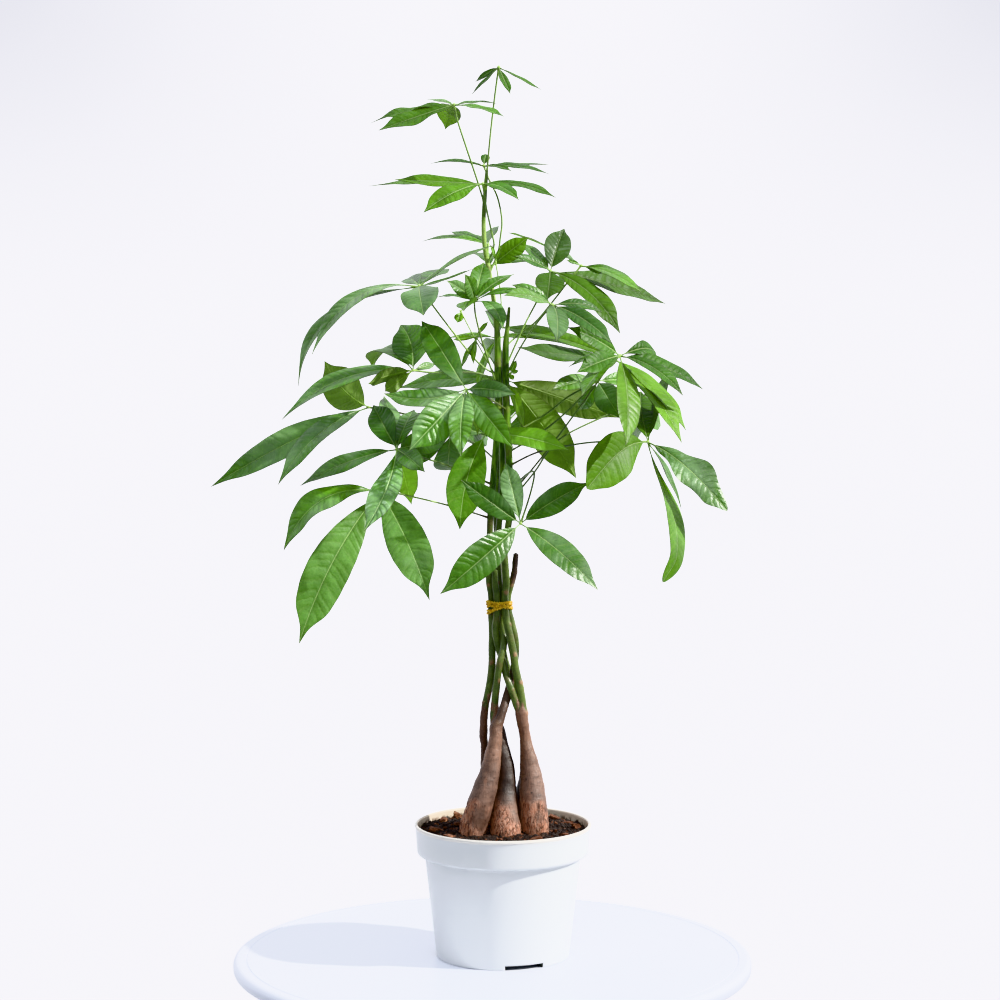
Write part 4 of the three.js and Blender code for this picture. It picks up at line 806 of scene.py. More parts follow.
def leaf_material():
    """A glossy quilted blade with a pale midrib, matt beneath, that lets light through."""
    colours = bpy.context.scene.money_tree
    material, w, place = start_material("leaf_blade")
    phase, rib, along = w.values("blade")
    fresh, light, painted_gloss = w.values("tone")
    under, quilt, matt = w.values("face")
    cloud, _ = w.mottle(place, 40.0, 420.0, 0.22)
    drift = (w.noise(place, 120.0, 2.0) - 0.5) * 0.5
    away = w.math("PINGPONG", phase + drift, 0.5) * 2.0
    tissue = w.step(away, 0.0, 0.7)
    net = w.get("ShaderNodeTexVoronoi", {"Vector": place, "Scale": 360.0}, feature="DISTANCE_TO_EDGE")
    mesh = w.step(net, 0.0, 0.16, 1.0, 0.0)
    core = w.step(rib, 0.15, w.step(along, 0.0, 1.0, 1.0, 0.42), 1.0, 0.0)
    beside = w.step(rib, 0.6, 2.4)
    vein = (1.0 - w.step(away, 0.0, 0.17)) * beside
    top = w.mix(fresh, colours.leaf_dark, colours.leaf_fresh)
    patches = w.spots(place, 24.0, 2.0, 0.55, 0.35, 0.65)
    top = w.mix(patches * 0.3, top, w.mix(0.5, top, colours.leaf_fresh))
    top = w.mix(mesh * 0.1, top, colours.vein_pale)
    top = w.mix(vein * w.step(quilt, 0.3, 0.9, 0.3, 0.1), top, colours.vein_pale)
    # Painted shade along both sides of the sunken midrib.
    top = w.mix(w.step(rib, 0.6, 3.4, 0.45, 0.0) * quilt, top, RIB_SHADE)
    # Painted highlights: pale glints on the crests and a pale sheen, standing in for reflections.
    painted_glints = w.step(tissue, 0.35, 0.95) * w.spots(place, 130.0, 3.0, 0.6, 0.42, 0.64)
    painted_glints = painted_glints * 0.7 * (painted_gloss * beside) * w.step(painted_gloss, 0.85, 1.0, 1.0, 0.0)
    painted_sheen = w.step(painted_gloss, 0.85, 1.25) * w.step(cloud, 0.0, 1.0, 0.3, 0.5)
    # Spots of painted sheen on the glossier leaflets.
    gloss = w.spots(place, 21.0, 2.0, 0.55, 0.44, 0.66) * w.step(matt, 0.4, 0.65, 1.0, 0.0)
    painted_sheen = w.math("MAXIMUM", painted_sheen, gloss * w.step(fresh, 0.2, 0.8, 0.3, 0.0))
    top = w.mix(w.math("MAXIMUM", painted_glints, painted_sheen), top, PAINTED_GLOSS_COLOUR)
    top = w.mix(core * 0.85, top, MIDRIB)
    below = w.mix(fresh * 0.5, colours.leaf_under, colours.leaf_fresh)
    below = w.mix(vein * 0.35, below, colours.vein_pale)
    below = w.mix(core * 0.85, below, colours.vein_pale)
    rim = w.step(w.value("margin"), 0.1, 0.7, 0.6, 0.0) * w.step(along, 0.1, 0.2)
    colour = w.mix(rim, w.mix(under, top, below), LEAF_EDGE)
    # Brightness by leaflet: random, plus painted light in sun and painted shade in shade.
    colour = w.scale(colour, light * w.step(cloud, 0.1, 0.9, 0.88, 1.14))
    height = tissue * beside * quilt * 0.6 - mesh * 0.03 + w.noise(place, 70.0, 2.0) * 1.6
    height = height - core * w.step(under, 0.4, 0.6, 1.0, -1.0)
    normal = w.bump(height, 0.0009, 0.8)
    rough = w.step(under, 0.4, 0.6, 0.25, 0.55) + cloud * 0.12 + matt * 0.22
    shine = w.step(matt, 0.0, 1.0, 0.58, 0.18)
    skin = w.get(
        "ShaderNodeBsdfPrincipled",
        {"Base Color": colour, "Roughness": rough, "Specular IOR Level": shine, "Normal": normal},
    )
    through = w.mix(fresh * 0.8, colours.leaf_glow, GLOW_FRESH)
    through = w.mix(vein * 0.4, through, GLOW_VEIN)
    through = w.mix(rim, through, GLOW_EDGE)
    # The light through the blade follows the same painted light and shade.
    through = w.scale(through, w.step(cloud, 0.0, 1.0, 0.84, 1.12) * w.step(light, 0.5, 1.1, 0.6, 1.1))
    glow = w.get("ShaderNodeBsdfTranslucent", {"Color": through, "Normal": normal})
    blend = w.get("ShaderNodeMixShader", {0: 0.36, 1: skin, 2: glow})
    w.node("ShaderNodeOutputMaterial", {"Surface": blend})
    return material


def petiole_material():
    """Smooth green stalks, brownish in places and pale where the leaflets meet."""
    pale = bpy.context.scene.money_tree.vein_pale
    material, w, place = start_material("petiole_green")
    cloud, fine = w.mottle(place, 40.0, 500.0, 0.3)
    high = w.step(w.split(place)[2], 0.46, 0.62)
    colour = w.mix(high, w.mix(cloud, *STALK_LOW), w.mix(cloud, *STALK_HIGH))
    brown = w.spots(place, 9.0, 2.0, 0.55, 0.48, 0.6, 0.0, 0.8) * w.step(high, 0.0, 1.0, 1.0, 0.35)
    colour = w.mix(brown, colour, STALK_BROWN)
    colour = w.mix(w.spots(place, 13.0, 1.0, 0.55, 0.58, 0.7, 0.0, 0.8), colour, pale)
    colour = w.mix(w.value("hub"), colour, pale)
    return close_material(material, w, colour, 0.42, Normal=w.bump(fine, 0.0003, 0.4))


def stem_material():
    """Grey-brown bark that flakes orange at the foot and gives way to smooth green stem."""
    colours = bpy.context.scene.money_tree
    material, w, place = start_material("stem_bark")
    bark, flake, scar = w.values("skin")
    cloud, _ = w.mottle(place, 70.0, 600.0, 0.35)
    height = w.split(place)[2]
    tall = w.get("ShaderNodeMapping", {"Vector": place, "Scale": (1.0, 1.0, 0.16)})
    wide = w.get("ShaderNodeMapping", {"Vector": place, "Scale": (0.4, 0.4, 1.0)})
    fibres = w.noise(tall, 800.0, 5.0, 0.68)
    crack = w.step(w.math("ABSOLUTE", w.noise(tall, 230.0, 4.0, 0.6) - 0.5), 0.0, 0.038, 1.0, 0.0)
    rings = w.noise(wide, 330.0, 4.0, 0.7) + w.noise(place, 90.0, 2.0) * 0.14
    plate = w.spots(tall, 170.0, 4.0, 0.7, 0.3, 0.5)
    chip = w.spots(tall, 420.0, 4.0, 0.75, 0.5, 0.58)
    knots = w.get("ShaderNodeTexVoronoi", {"Vector": place, "Scale": 95.0})
    brown = w.mix(cloud, BARK_DARK, colours.bark_brown)
    brown = w.mix(w.spots(place, 33.0, 3.0, 0.55, 0.42, 0.66, 0.0, 0.75), brown, BARK_PALE)
    brown = w.mix(w.spots(tall, 75.0, 4.0, 0.65, 0.52, 0.68, 0.0, 0.4), brown, BARK_RUST)
    brown = w.mix(w.step(fibres, 0.5, 0.68, 0.0, 0.6), brown, BARK_FIBRE)
    brown = w.mix(w.step(rings, 0.6, 0.68, 0.0, 0.5), brown, BARK_RING)
    brown = w.mix(w.step(knots, 0.06, 0.12, 0.85, 0.0), brown, BARK_KNOT)
    # Warmer upper trunks: partly the bark's tone, partly painted light where they are lit.
    warm_and_painted_light = w.step(height, 0.175, 0.215, 0.0, 0.42) * w.step(height, 0.29, 0.34, 1.0, 0.0)
    brown = w.mix(warm_and_painted_light * w.step(fibres, 0.35, 0.6, 1.0, 0.5), brown, BARK_WARM_AND_PAINTED_LIGHT)
    orange = w.mix(w.step(fibres, 0.3, 0.66), FLAKE_PALE, colours.bark_orange)
    orange = w.mix(chip * 0.6, orange, FLAKE_RED)
    orange = w.mix(w.spots(tall, 520.0, 3.0, 0.7, 0.6, 0.7, 0.0, 0.5), orange, FLAKE_LIGHT)
    # Near-black cracks: dark bark, partly painted shade in the crevices.
    orange = w.mix(crack * 0.85, orange, FLAKE_CRACK_AND_PAINTED_SHADE)
    brown = w.mix(flake * plate, brown, orange)
    green = w.mix(cloud, colours.stem_green, STEM_PALE)
    sap = w.mix(w.spots(tall, 210.0, 3.0, 0.6, 0.44, 0.62), *STEM_MIDDLE)
    green = w.mix(w.step(height, 0.4, 0.47), green, sap)
    high = w.step(height, 0.58, 0.64) * w.step(height, 0.69, 0.73, 1.0, 0.2)
    green = w.mix(high, green, w.mix(cloud, *STEM_HIGH))
    green = w.mix(w.spots(place, 55.0, 4.0, 0.7, 0.54, 0.66, 0.0, 0.55), green, STEM_CORK)
    edge = bark + (w.noise(tall, 260.0, 5.0, 0.7) - 0.5) * 1.4
    colour = w.mix(w.step(edge, 0.25, 0.75), green, brown)
    colour = w.mix(scar * 0.85, colour, w.mix(cloud, *SCAR))
    # Darkens by the mask: painted shade on shaded necks, and the dried stub.
    colour = w.scale(colour, w.step(w.value("dusk"), 0.0, 1.0, 1.0, 0.2))
    rough = w.step(w.math("MAXIMUM", bark, scar), 0.2, 0.8, 0.34, 0.5) + flake * 0.3
    grain = (fibres * 0.6 + rings * 0.5) * w.step(bark, 0.2, 0.8, 0.2, 0.8)
    relief = (plate + chip * 0.5 - crack * 1.4) * (flake * 0.7)
    return close_material(material, w, colour, rough, Normal=w.bump(grain + relief, 0.0012, 0.75))


def pot_material():
    """White moulded plastic, cream at the lip and beige inside, from stain and painted warm light."""
    colours = bpy.context.scene.money_pot
    material, w, place = start_material("pot_plastic")
    cloud, fine = w.mottle(place, 14.0, 900.0, 0.2)
    shell = w.mix(cloud * 0.3, colours.white, POT_CLOUD)
    shell = w.mix(w.spots(place, 90.0, 5.0, 0.7, 0.6, 0.75) * 0.25, shell, POT_SCUFF)
    # Beige inside: stain, and painted warm light shining through and bouncing off the wall.
    stained_and_painted_glow = w.mix(cloud, colours.inside, POT_STAIN_AND_PAINTED_GLOW)
    low_down = w.step(w.split(place)[2], 0.1225, 0.126, 1.0, 0.0)
    dirt = low_down * w.spots(place, 240.0, 4.0, 0.55, 0.42, 0.58)
    stained_and_painted_glow = w.mix(dirt * 0.8, stained_and_painted_glow, POT_DIRT)
    colour = w.mix(w.value("inside"), shell, stained_and_painted_glow)
    return close_material(material, w, colour, cloud * 0.1 + 0.34, Normal=w.bump(fine, 0.0001, 0.25))


def notch_shade_material():
    """Plastic inside the drain notches, painted dark as the shade inside the hole."""
    material, w, place = start_material("pot_notch_painted_shade")
    cloud, _ = w.mottle(place, 200.0, 900.0, 0.3)
    return close_material(material, w, w.mix(cloud, *NOTCH_PAINTED_SHADE), 0.7)


def earth_material(name, dark, pale, broad):
    """Damp soil or chips, dark with paler cloudy patches."""
    material, w, place = start_material(name)
    cloud, fine = w.mottle(place, broad, 1400.0, 0.3)
    colour = w.mix(w.step(cloud, 0.55, 1.0), dark, pale)
    rough = w.step(fine, 0.3, 0.7, 0.7, 0.95)
    return close_material(material, w, colour, rough, Normal=w.bump(fine, 0.0012, 0.9))


def soil_material():
    """Dark potting mix."""
    return earth_material("soil_damp", bpy.context.scene.money_pot.soil_dark, SOIL_PALE, 160.0)


def chip_material():
    """Brown bark chips."""
    return earth_material("bark_chips", bpy.context.scene.money_pot.chip_brown, CHIP_PALE, 150.0)


def tie_material():
    """Gold coating over wire, darker in cloudy patches."""
    material, w, place = start_material("tie_gold")
    cloud, fine = w.mottle(place, 380.0, 1500.0, 0.3)
    colour = w.mix(w.step(cloud, 0.25, 0.9), TIE_DARK, bpy.context.scene.money_tree.tie_gold)
    return close_material(material, w, colour, 0.34, Normal=w.bump(fine, 0.0003, 0.5))


def table_material():
    """White enamel, shaded round its rolled edge."""
    material, w, place = start_material("table_white")
    cloud, _ = w.mottle(place, 3.0, 300.0, 0.1)
    edge = w.step(w.split(place)[2], -0.0075, -0.0012, 0.55, 0.0)
    return close_material(material, w, w.mix(edge, w.mix(cloud * 0.3, *TABLE), TABLE_SHADE), 0.3)


MAKERS = {
    "leaf": leaf_material, "petiole": petiole_material, "stem": stem_material, "pot": pot_material,
    "drain": notch_shade_material, "soil": soil_material, "chips": chip_material, "tie": tie_material,
    "table": table_material,
}
FINISHES = {}


def finish(name):
    """The named material, made once."""
    if name not in FINISHES:
        FINISHES[name] = MAKERS[name]()
    return FINISHES[name]


def at(across, height, toward):
    """The point in mm that is seen from the front at this place of the pot's upright plane."""
    k = 1 - toward / VIEW_DISTANCE
    x = VIEW_SIDE + (across - VIEW_SIDE) * k
    return np.array([x, -toward, VIEW_HEIGHT + (height - VIEW_HEIGHT) * k])


def unit(v):
    """Vectors scaled to length 1."""
    return v / np.maximum(np.linalg.norm(v, axis=-1, keepdims=True), 1e-12)


def smoothstep(low, high, value):
    """0 below low and 1 above high, with a smooth rise between them."""
    t = np.clip((value - low) / (high - low), 0.0, 1.0)
    return t * t * (3 - 2 * t)


def smooth_path(rows, steps):
    """Catmull-Rom rows between the given ones."""
    rows = np.array(rows, float)
    t = np.arange(steps)[:, None] / steps
    out = []
    for i in range(len(rows) - 1):
        a, b, c, d = rows[max(i - 1, 0)], rows[i], rows[i + 1], rows[min(i + 2, len(rows) - 1)]
        second, third = 2 * a - 5 * b + 4 * c - d, 3 * b - a - 3 * c + d
        out.append(0.5 * (2 * b + (c - a) * t + second * t**2 + third * t**3))
    return np.concatenate([*out, rows[-1:]])


def ring_faces(rings, sides):
    """Faces of a stack of rings, closed by the two end points that follow them."""
    faces = []
    for i in range(rings - 1):
        for k in range(sides):
            a, b = i * sides + k, i * sides + (k + 1) % sides
            faces.append((a, b, b + sides, a + sides))
    start = rings * sides
    last = start - sides
    for k in range(sides):
        faces.append((start, (k + 1) % sides, k))
        faces.append((start + 1, last + k, last + (k + 1) % sides))
    return faces


def tube(rows, sides):
    """Points, faces and outward directions of a closed round tube along rows of x, y, z, radius."""
    rows = np.array(rows, float)
    points, radii = rows[:, :3], rows[:, 3]
    ahead = unit(np.concatenate([points[1:], points[-1:]]) - np.concatenate([points[:1], points[:-1]]))
    across = np.array([1.0, 0.0, 0.0])
    angles = np.arange(sides) * 2 * math.pi / sides
    rings, outward = [], []
    for point, radius, along in zip(points, radii, ahead):
        across = unit(across - along * (across @ along))
        out = np.outer(np.cos(angles), across) + np.outer(np.sin(angles), np.cross(along, across))
        rings.append(point + out * radius)
        outward.append(out)
    vertices = np.concatenate([*rings, points[:1], points[-1:]])
    outward = np.concatenate([*outward, -ahead[:1], ahead[-1:]])
    return vertices, ring_faces(len(rows), sides), outward


def lathe(profile, sides):
    """Points and faces of a turned shape from radius, height rows that start and end on the axis."""
    angles = np.arange(sides) * 2 * math.pi / sides
    circle = np.stack([np.cos(angles), np.sin(angles)], axis=1)
    rings = [np.c_[circle * r, np.full(sides, z)] for r, z in profile[1:-1]]
    poles = [[[0.0, 0.0, z]] for _, z in (profile[0], profile[-1])]
    return np.concatenate([*rings, *poles]), ring_faces(len(rings), sides)


def link(name, data):
    """A new object in the scene."""
    made = bpy.data.objects.new(name, data)
    bpy.context.scene.collection.objects.link(made)
    return made


class Parts:
    """Points, faces, finishes and attributes gathered for one mesh."""

    def __init__(self):
        self.points = []
        self.faces = []
        self.slots = []
        self.values = {}
        self.count = 0

    def add(self, points, faces, slot=0, **values):
        """Adds a closed shape in mm, with a finish and attributes for its points."""
        self.points.append(points)
        self.faces += [tuple(i + self.count for i in face) for face in faces]
        self.slots += [slot] * len(faces)
        for name, value in values.items():
            self.values.setdefault(name, []).append((self.count, np.array(value, float)))
        self.count += len(points)

    def object(self, name, finishes, sharp=50.0):
        """The gathered parts as one object, in metres."""
        mesh = bpy.data.meshes.new(name)
        mesh.from_pydata((np.concatenate(self.points) * MM).tolist(), [], self.faces)
        mesh.polygons.foreach_set("material_index", self.slots)
        for label, chunks in self.values.items():
            wide = chunks[0][1].ndim > 1
            data = np.zeros((self.count, 3) if wide else self.count, np.float32)
            for start, value in chunks:
                data[start:start + len(value)] = value
            attribute = mesh.attributes.new(label, "FLOAT_VECTOR" if wide else "FLOAT", "POINT")
            attribute.data.foreach_set("vector" if wide else "value", data.ravel())
        for label in finishes:
            mesh.materials.append(finish(label))
        mesh.shade_smooth()
        mesh.set_sharp_from_angle(angle=math.radians(sharp))
        mesh.update()
        return link(name, mesh)


def plain(source, *tools):
    """The evaluated object as a plain mesh of the same name, with its modifiers and tools removed."""
    bpy.context.view_layer.update()
    depsgraph = bpy.context.evaluated_depsgraph_get()
    mesh = bpy.data.meshes.new_from_object(
        source.evaluated_get(depsgraph), preserve_all_data_layers=True, depsgraph=depsgraph,
    )
    name, old = source.name, source.data
    for done in (source, *tools):
        bpy.data.objects.remove(done)
    bpy.data.meshes.remove(old)
    mesh.name = name
    return link(name, mesh)


def blade_width(s, look):
    """How wide the blade is along its length, from its short stalk to its drip tip."""
    x = np.clip((s - STALK_SHARE) / (1 - STALK_SHARE), 0.0, 1.0) ** look["late"]
    power = 0.9 - 0.4 * look["blunt"] * smoothstep(0.25, 0.75, x)
    taper = 1 - 0.42 * (1 - look["blunt"]) * smoothstep(0.72, 1.0, x)
    return (4 * x * (1 - x)) ** power * taper * (1 - look["drip"] * smoothstep(0.78, 0.93, x))


def blade_faces(rows, columns):
    """Faces of a closed blade: its upper grid, its lower one and the rim between them."""
    n = columns + 1
    size = (rows + 1) * n
    faces = []
    for i in range(rows):
        for k in range(columns):
            a = i * n + k
            faces.append((a, a + 1, a + n + 1, a + n))
            faces.append((size + a, size + a + n, size + a + n + 1, size + a + 1))
        a, b = i * n, i * n + columns
        faces.append((a, a + n, size + a + n, size + a))
        faces.append((b, size + b, size + b + n, b + n))
    for k in range(columns):
        a = rows * n + k
        faces.append((k, size + k, size + k + 1, k + 1))
        faces.append((a, a + 1, size + a + 1, size + a))
    return faces


def blade_line(s, base, tip, width, row, look, draw):
    """The bowed midrib of a blade, with its upward and sideways directions."""
    seen, rise, sweep, skew = row
    along = unit(tip - base)
    facing = unit(np.array([0.0, -1.0, 0.0]) + along * along[1])
    side = np.cross(facing, along)
    if side[2] < 0:
        side = -side
    lean = math.asin(seen / width)
    normal = side * math.cos(lean) + facing * math.sin(lean)
    bow = np.outer(4 * s * (1 - s) * (1 + skew * (2 * s - 1)), normal * rise + side * sweep)
    centre = base + np.outer(s * float(np.linalg.norm(tip - base)), along) + bow
    hook = smoothstep(0.8, 1.0, s) ** 1.5
    centre = centre + np.outer(hook, side * look["hook"][1])
    centre[:, 0] += hook * look["hook"][0]
    direction = unit(np.gradient(centre, axis=0))
    up = unit(normal - direction * (direction @ normal)[:, None])
    across = np.cross(direction, up)
    turn = look["twist"] * (s - 0.3) + draw.uniform(-0.05, 0.05)
    cos, sin = np.cos(turn)[:, None], np.sin(turn)[:, None]
    return centre, up * cos + across * sin, across * cos - up * sin


def add_leaflet(parts, hub, row, draw, look):
    """One blade from the hub: quilted between its veins, waved at its margin, closed all round."""
    settings = bpy.context.scene.money_tree
    tip = at(*row[:3])
    base = hub + unit(tip - hub) * HUB_RADIUS * 0.4
    length = float(np.linalg.norm(tip - base))
    width = max(abs(row[3]), min(NATURAL_WIDTH * length, WIDEST_BLADE))
    rows = int(np.clip(length * MM / settings.blade_step, 22, 84))
    columns = settings.blade_columns if width > 17 else settings.blade_columns - 4
    s = np.linspace(0.0, 1.0, rows + 1)
    bends = (list(row[3:]) + [0.0, 0.0])[:4]
    centre, up, across = blade_line(s, base, tip, width, bends, look, draw)
    least = np.where(s < 0.12, 0.65, 0.2)
    half = np.maximum(width / 2 * blade_width(s, look), least)
    S, X = np.meshgrid(s, np.linspace(-1.0, 1.0, columns + 1), indexing="ij")
    H = half[:, None]
    shift = draw.uniform(0.0, TURN)
    pairs = round(float(np.clip(6 + length / 13, 8, 17)))
    ahead = 0.55 * (width / 2) / length
    phase = pairs * (S - ahead * np.abs(X) ** 1.3) + draw.random() + 0.35 * (X > 0)
    phase = phase + 0.22 * np.sin(1.7 * phase + shift)
    body = smoothstep(0.05, 0.2, S) * (1 - smoothstep(0.88, 1.0, S))
    swell = np.abs(np.sin(math.pi * phase)) ** 0.8 * look["quilt"] * settings.vein_depth / MM
    quilt = swell * smoothstep(0.04, 0.25, np.abs(X)) * (1 - np.abs(X) ** 3) * body
    fold = look["fold"] * (np.sqrt(X**2 + 0.012) - 0.11) - look["fold"] * 0.35 * X**4
    waves = draw.uniform(1.3, 2.3)
    wave = np.sin(waves * TURN * S + shift + 1.7 * (X > 0)) * np.abs(X) ** 2.2
    wave = wave * look["wave"] * width * np.sin(math.pi * S)
    lift = H * fold * smoothstep(0.02, 0.15, S) + wave + quilt
    ripple = look["ripple"]
    outline = 1 + ripple * np.sin(TURN * S * (1 + 8 * ripple) + 2 * shift + 2.1 * (X > 0)) * body
    outline += 0.006 * np.sin(TURN * 0.5 * pairs * S + shift) * body
    edge = (outline * H * X)[..., None]
    middle = centre[:, None, :] + across[:, None, :] * edge + up[:, None, :] * lift[..., None]
    stalk = 1 - smoothstep(0.03, 0.11, S)
    rib = np.exp(-((H * X / 0.75) ** 2)) * (1 - 0.75 * S)
    thick = 0.2 + 0.4 * stalk * (1 - np.abs(X) ** 2)
    top = middle + up[:, None, :] * (thick - 0.12 * rib * (1 - stalk))[..., None]
    below = middle - up[:, None, :] * (thick + 0.55 * rib)[..., None]
    count = S.size
    blade = np.stack([phase.ravel(), (np.abs(X) * H).ravel(), S.ravel()], axis=1)
    face = np.tile([0.0, look["quilt"], look["matt"]], (count * 2, 1))
    face[count:, 0] = 1.0
    parts.add(
        np.concatenate([top.reshape(-1, 3), below.reshape(-1, 3)]), blade_faces(rows, columns),
        blade=np.concatenate([blade, blade]), face=face,
        tone=np.tile([look["fresh"], look["light"], look["painted_gloss"]], (count * 2, 1)),
        margin=np.tile(((1 - np.abs(X)) * H).ravel(), 2),
    )


def draw_look(draw, young):
    """The look of one leaflet, before its touches."""
    look = {"fresh": min(1.0, max(0.0, draw.gauss(0.2, 0.18) + young)), "light": draw.uniform(0.82, 1.15)}
    # A little painted gloss, drawn at random.
    look["painted_gloss"] = max(0.0, draw.gauss(0.0, 0.2))
    look.update({key: draw.uniform(*span) for key, span in SPREAD.items()})
    return {**look, "hook": (0.0, 0.0), "drip": 0.2, "ripple": 0.03}


def add_leaf(parts, leaf, draw, number, slim=1.0):
    """One petiole with its hub and leaflets, added to a piece."""
    path = leaf["path"]
    hub = at(*path[-1])
    rows = smooth_path([[*at(*place), PETIOLE_RADIUS * slim] for place in path], 7)
    reach = np.linspace(0.0, 1.0, len(rows))
    rows[:, 3] *= 1 + 0.75 * (1 - smoothstep(0.0, 0.1, reach)) + 0.3 * smoothstep(0.9, 1.0, reach)
    points, faces, _ = tube(rows, PETIOLE_SIDES)
    near = np.repeat(smoothstep(0.86, 1.0, reach), PETIOLE_SIDES)
    parts.add(points, faces, 1, hub=[*near, 0.0, 1.0])
    heading = unit(rows[-1, :3] - rows[-3, :3])
    knob = [[*(hub + heading * ahead), radius * slim] for ahead, radius in HUB_KNOB]
    points, faces, _ = tube(knob, PETIOLE_SIDES)
    parts.add(points, faces, 1, hub=np.full(len(points), 0.9))
    young = 0.25 * float(smoothstep(620.0, 800.0, path[-1][1]))
    for index, row in enumerate(leaf["leaflets"], 1):
        look = draw_look(draw, young)
        look.update(TOUCHES.get((number, 0), {}))
        look.update(TOUCHES.get((number, index), {}))
        add_leaflet(parts, hub, row, draw, look)


def leaf_object(number, leaf):
    """A compound leaf: petiole, hub and leaflets in one piece, with any young shoots beside it."""
    draw = random.Random(100 + number)
    parts = Parts()
    add_leaf(parts, leaf, draw, number)
    for sprig in leaf.get("sprigs", []):
        add_leaf(parts, sprig, draw, 0, YOUNG_SLIM)
    return parts.object(f"leaf_{number:02d}_foliage", ["leaf", "petiole"])


def stem_rows(run):
    """Even rows of x, y, z, radius along a run, with a rounded end."""
    rows = smooth_path([[*at(*row[:3]), row[3]] for row in run], 8)
    steps = np.linalg.norm(np.diff(rows[:, :3], axis=0), axis=1)
    reach = np.concatenate([[0.0], np.cumsum(steps)])
    places = np.arange(0.0, reach[-1], STEM_STEP)
    rows = np.stack([np.interp(places, reach, rows[:, k]) for k in range(4)], axis=1)
    end, radius = rows[-1, :3], rows[-1, 3]
    ahead = (end - rows[-2, :3]) * 0.25
    tips = [[*(end + ahead * (i + 1)), radius * share] for i, share in enumerate(STEM_END)]
    return np.concatenate([rows, tips])


def stretched(p, wide, tall):
    """A place scaled across and along the stem, for noise that follows the wood."""
    return Vector((p.x * wide, p.y * wide, p.z * tall))


def scar_at(x, y, z, p, scars):
    """How much of a scar, as seen from the front, a point of the surface has."""
    k = 1 + y / VIEW_DISTANCE
    across = VIEW_SIDE + (x - VIEW_SIDE) / k
    height = VIEW_HEIGHT + (z - VIEW_HEIGHT) / k
    most = 0.0
    for u, h, size in scars:
        away = math.hypot(across - u, (height - h) * 0.8) / size + 0.6 * noise.noise(p * 0.7)
        most = max(most, float(1 - smoothstep(0.4, 1.3, away)))
    return most


def trunk_object(name):
    """A swollen trunk with its stems, bark relief, scars and the masks its material reads."""
    parts = Parts()
    seed = Vector((ord(name[-1]) * 7.3, 3.1, 9.7))
    trunk = TRUNKS[name]
    low, high, end, depth = trunk["dusk"]
    dry_from = trunk.get("dry", NEVER_DRY)
    flaky = trunk["flake"]
    for run, top in zip(trunk["runs"], trunk["bark"]):
        rows = stem_rows(run)
        points, faces, outward = tube(rows, STEM_SIDES)
        radii = [*np.repeat(rows[:, 3], STEM_SIDES), rows[0, 3], rows[-1, 3]]
        heights = points[:, 2]
        # Painted shade on the stretch of stem that lies in shade.
        dusk = depth * smoothstep(low, high, heights) * (1 - smoothstep(end - 12, end + 12, heights))
        skin = np.zeros((len(points), 3))
        for i, ((x, y, z), out) in enumerate(zip(points, outward)):
            p = Vector((x, y, z)) + seed
            broad = noise.noise(p * 0.11)
            border = z - 8 * out[0] + 20 * noise.noise(p * 0.12) + 5 * noise.noise(stretched(p, 0.5, 0.1))
            dry = float(smoothstep(dry_from - 8, dry_from + 8, z + 8 * noise.noise(p * 0.2)))
            bark = max(float(1 - smoothstep(top - 13, top + 13, border)), dry)
            # The dried stub darkens through the same mask as the painted shade.
            dusk[i] = max(dusk[i], 0.85 * dry)
            foot = z + 10 * out[0] + 22 * noise.noise(p * 0.08 + seed)
            flake = float(1 - smoothstep(flaky - 10, flaky + 8, foot))
            groove = 1 - abs(noise.noise(stretched(p, 0.5, 0.045))) * 2.2
            rough = noise.fractal(stretched(p, 0.45, 0.3), 1.0, 2.0, 3)
            ring = noise.noise(stretched(p, 0.05, 0.9))
            scar = scar_at(x, y, z, p, trunk["scars"]) if out[1] < 0.35 else 0.0
            split = 0.8 * max(0.0, groove - 0.7) / 0.3
            push = bark * (0.2 * rough + 0.5 * broad) + flake * (0.4 * rough - split)
            push += (0.12 + 0.15 * bark) * ring + (1 - bark) * 0.1 * broad
            push += 0.5 * scar
            points[i] += out * push * min(1.0, radii[i] / 4.0)
            skin[i] = (bark, flake, scar)
        parts.add(points, faces, skin=skin, dusk=dusk)
    return parts.object(f"{name}_stem", ["stem"])


def wall_radius(z):
    """The pot's outer radius below its band."""
    return FOOT_RADIUS + (BODY_TOP_RADIUS - FOOT_RADIUS) * z / BAND_BOTTOM


def notch_cutters():
    """Blocks that cut the drain notches out of the foot."""
    cutters = Parts()
    for middle in NOTCH_ANGLES:
        angles = np.radians(np.linspace(middle - NOTCH_HALF_ANGLE, middle + NOTCH_HALF_ANGLE, 9))
        arc = np.stack([np.cos(angles), np.sin(angles)], axis=1)
        loop = np.concatenate([arc * (FOOT_RADIUS + 4), arc[::-1] * (FOOT_RADIUS - NOTCH_DEPTH)])
        n = len(loop)
        block = np.concatenate([np.c_[loop, np.full(n, -1.0)], np.c_[loop, np.full(n, NOTCH_HEIGHT)]])
        sides = [(k, (k + 1) % n, n + (k + 1) % n, n + k) for k in range(n)]
        # The notch faces take the dark finish that paints the shade inside the hole.
        cutters.add(block, [tuple(range(n))[::-1], tuple(range(n, 2 * n)), *sides], 1)
    return cutters.object("notch_cutter", ["pot", "drain"])


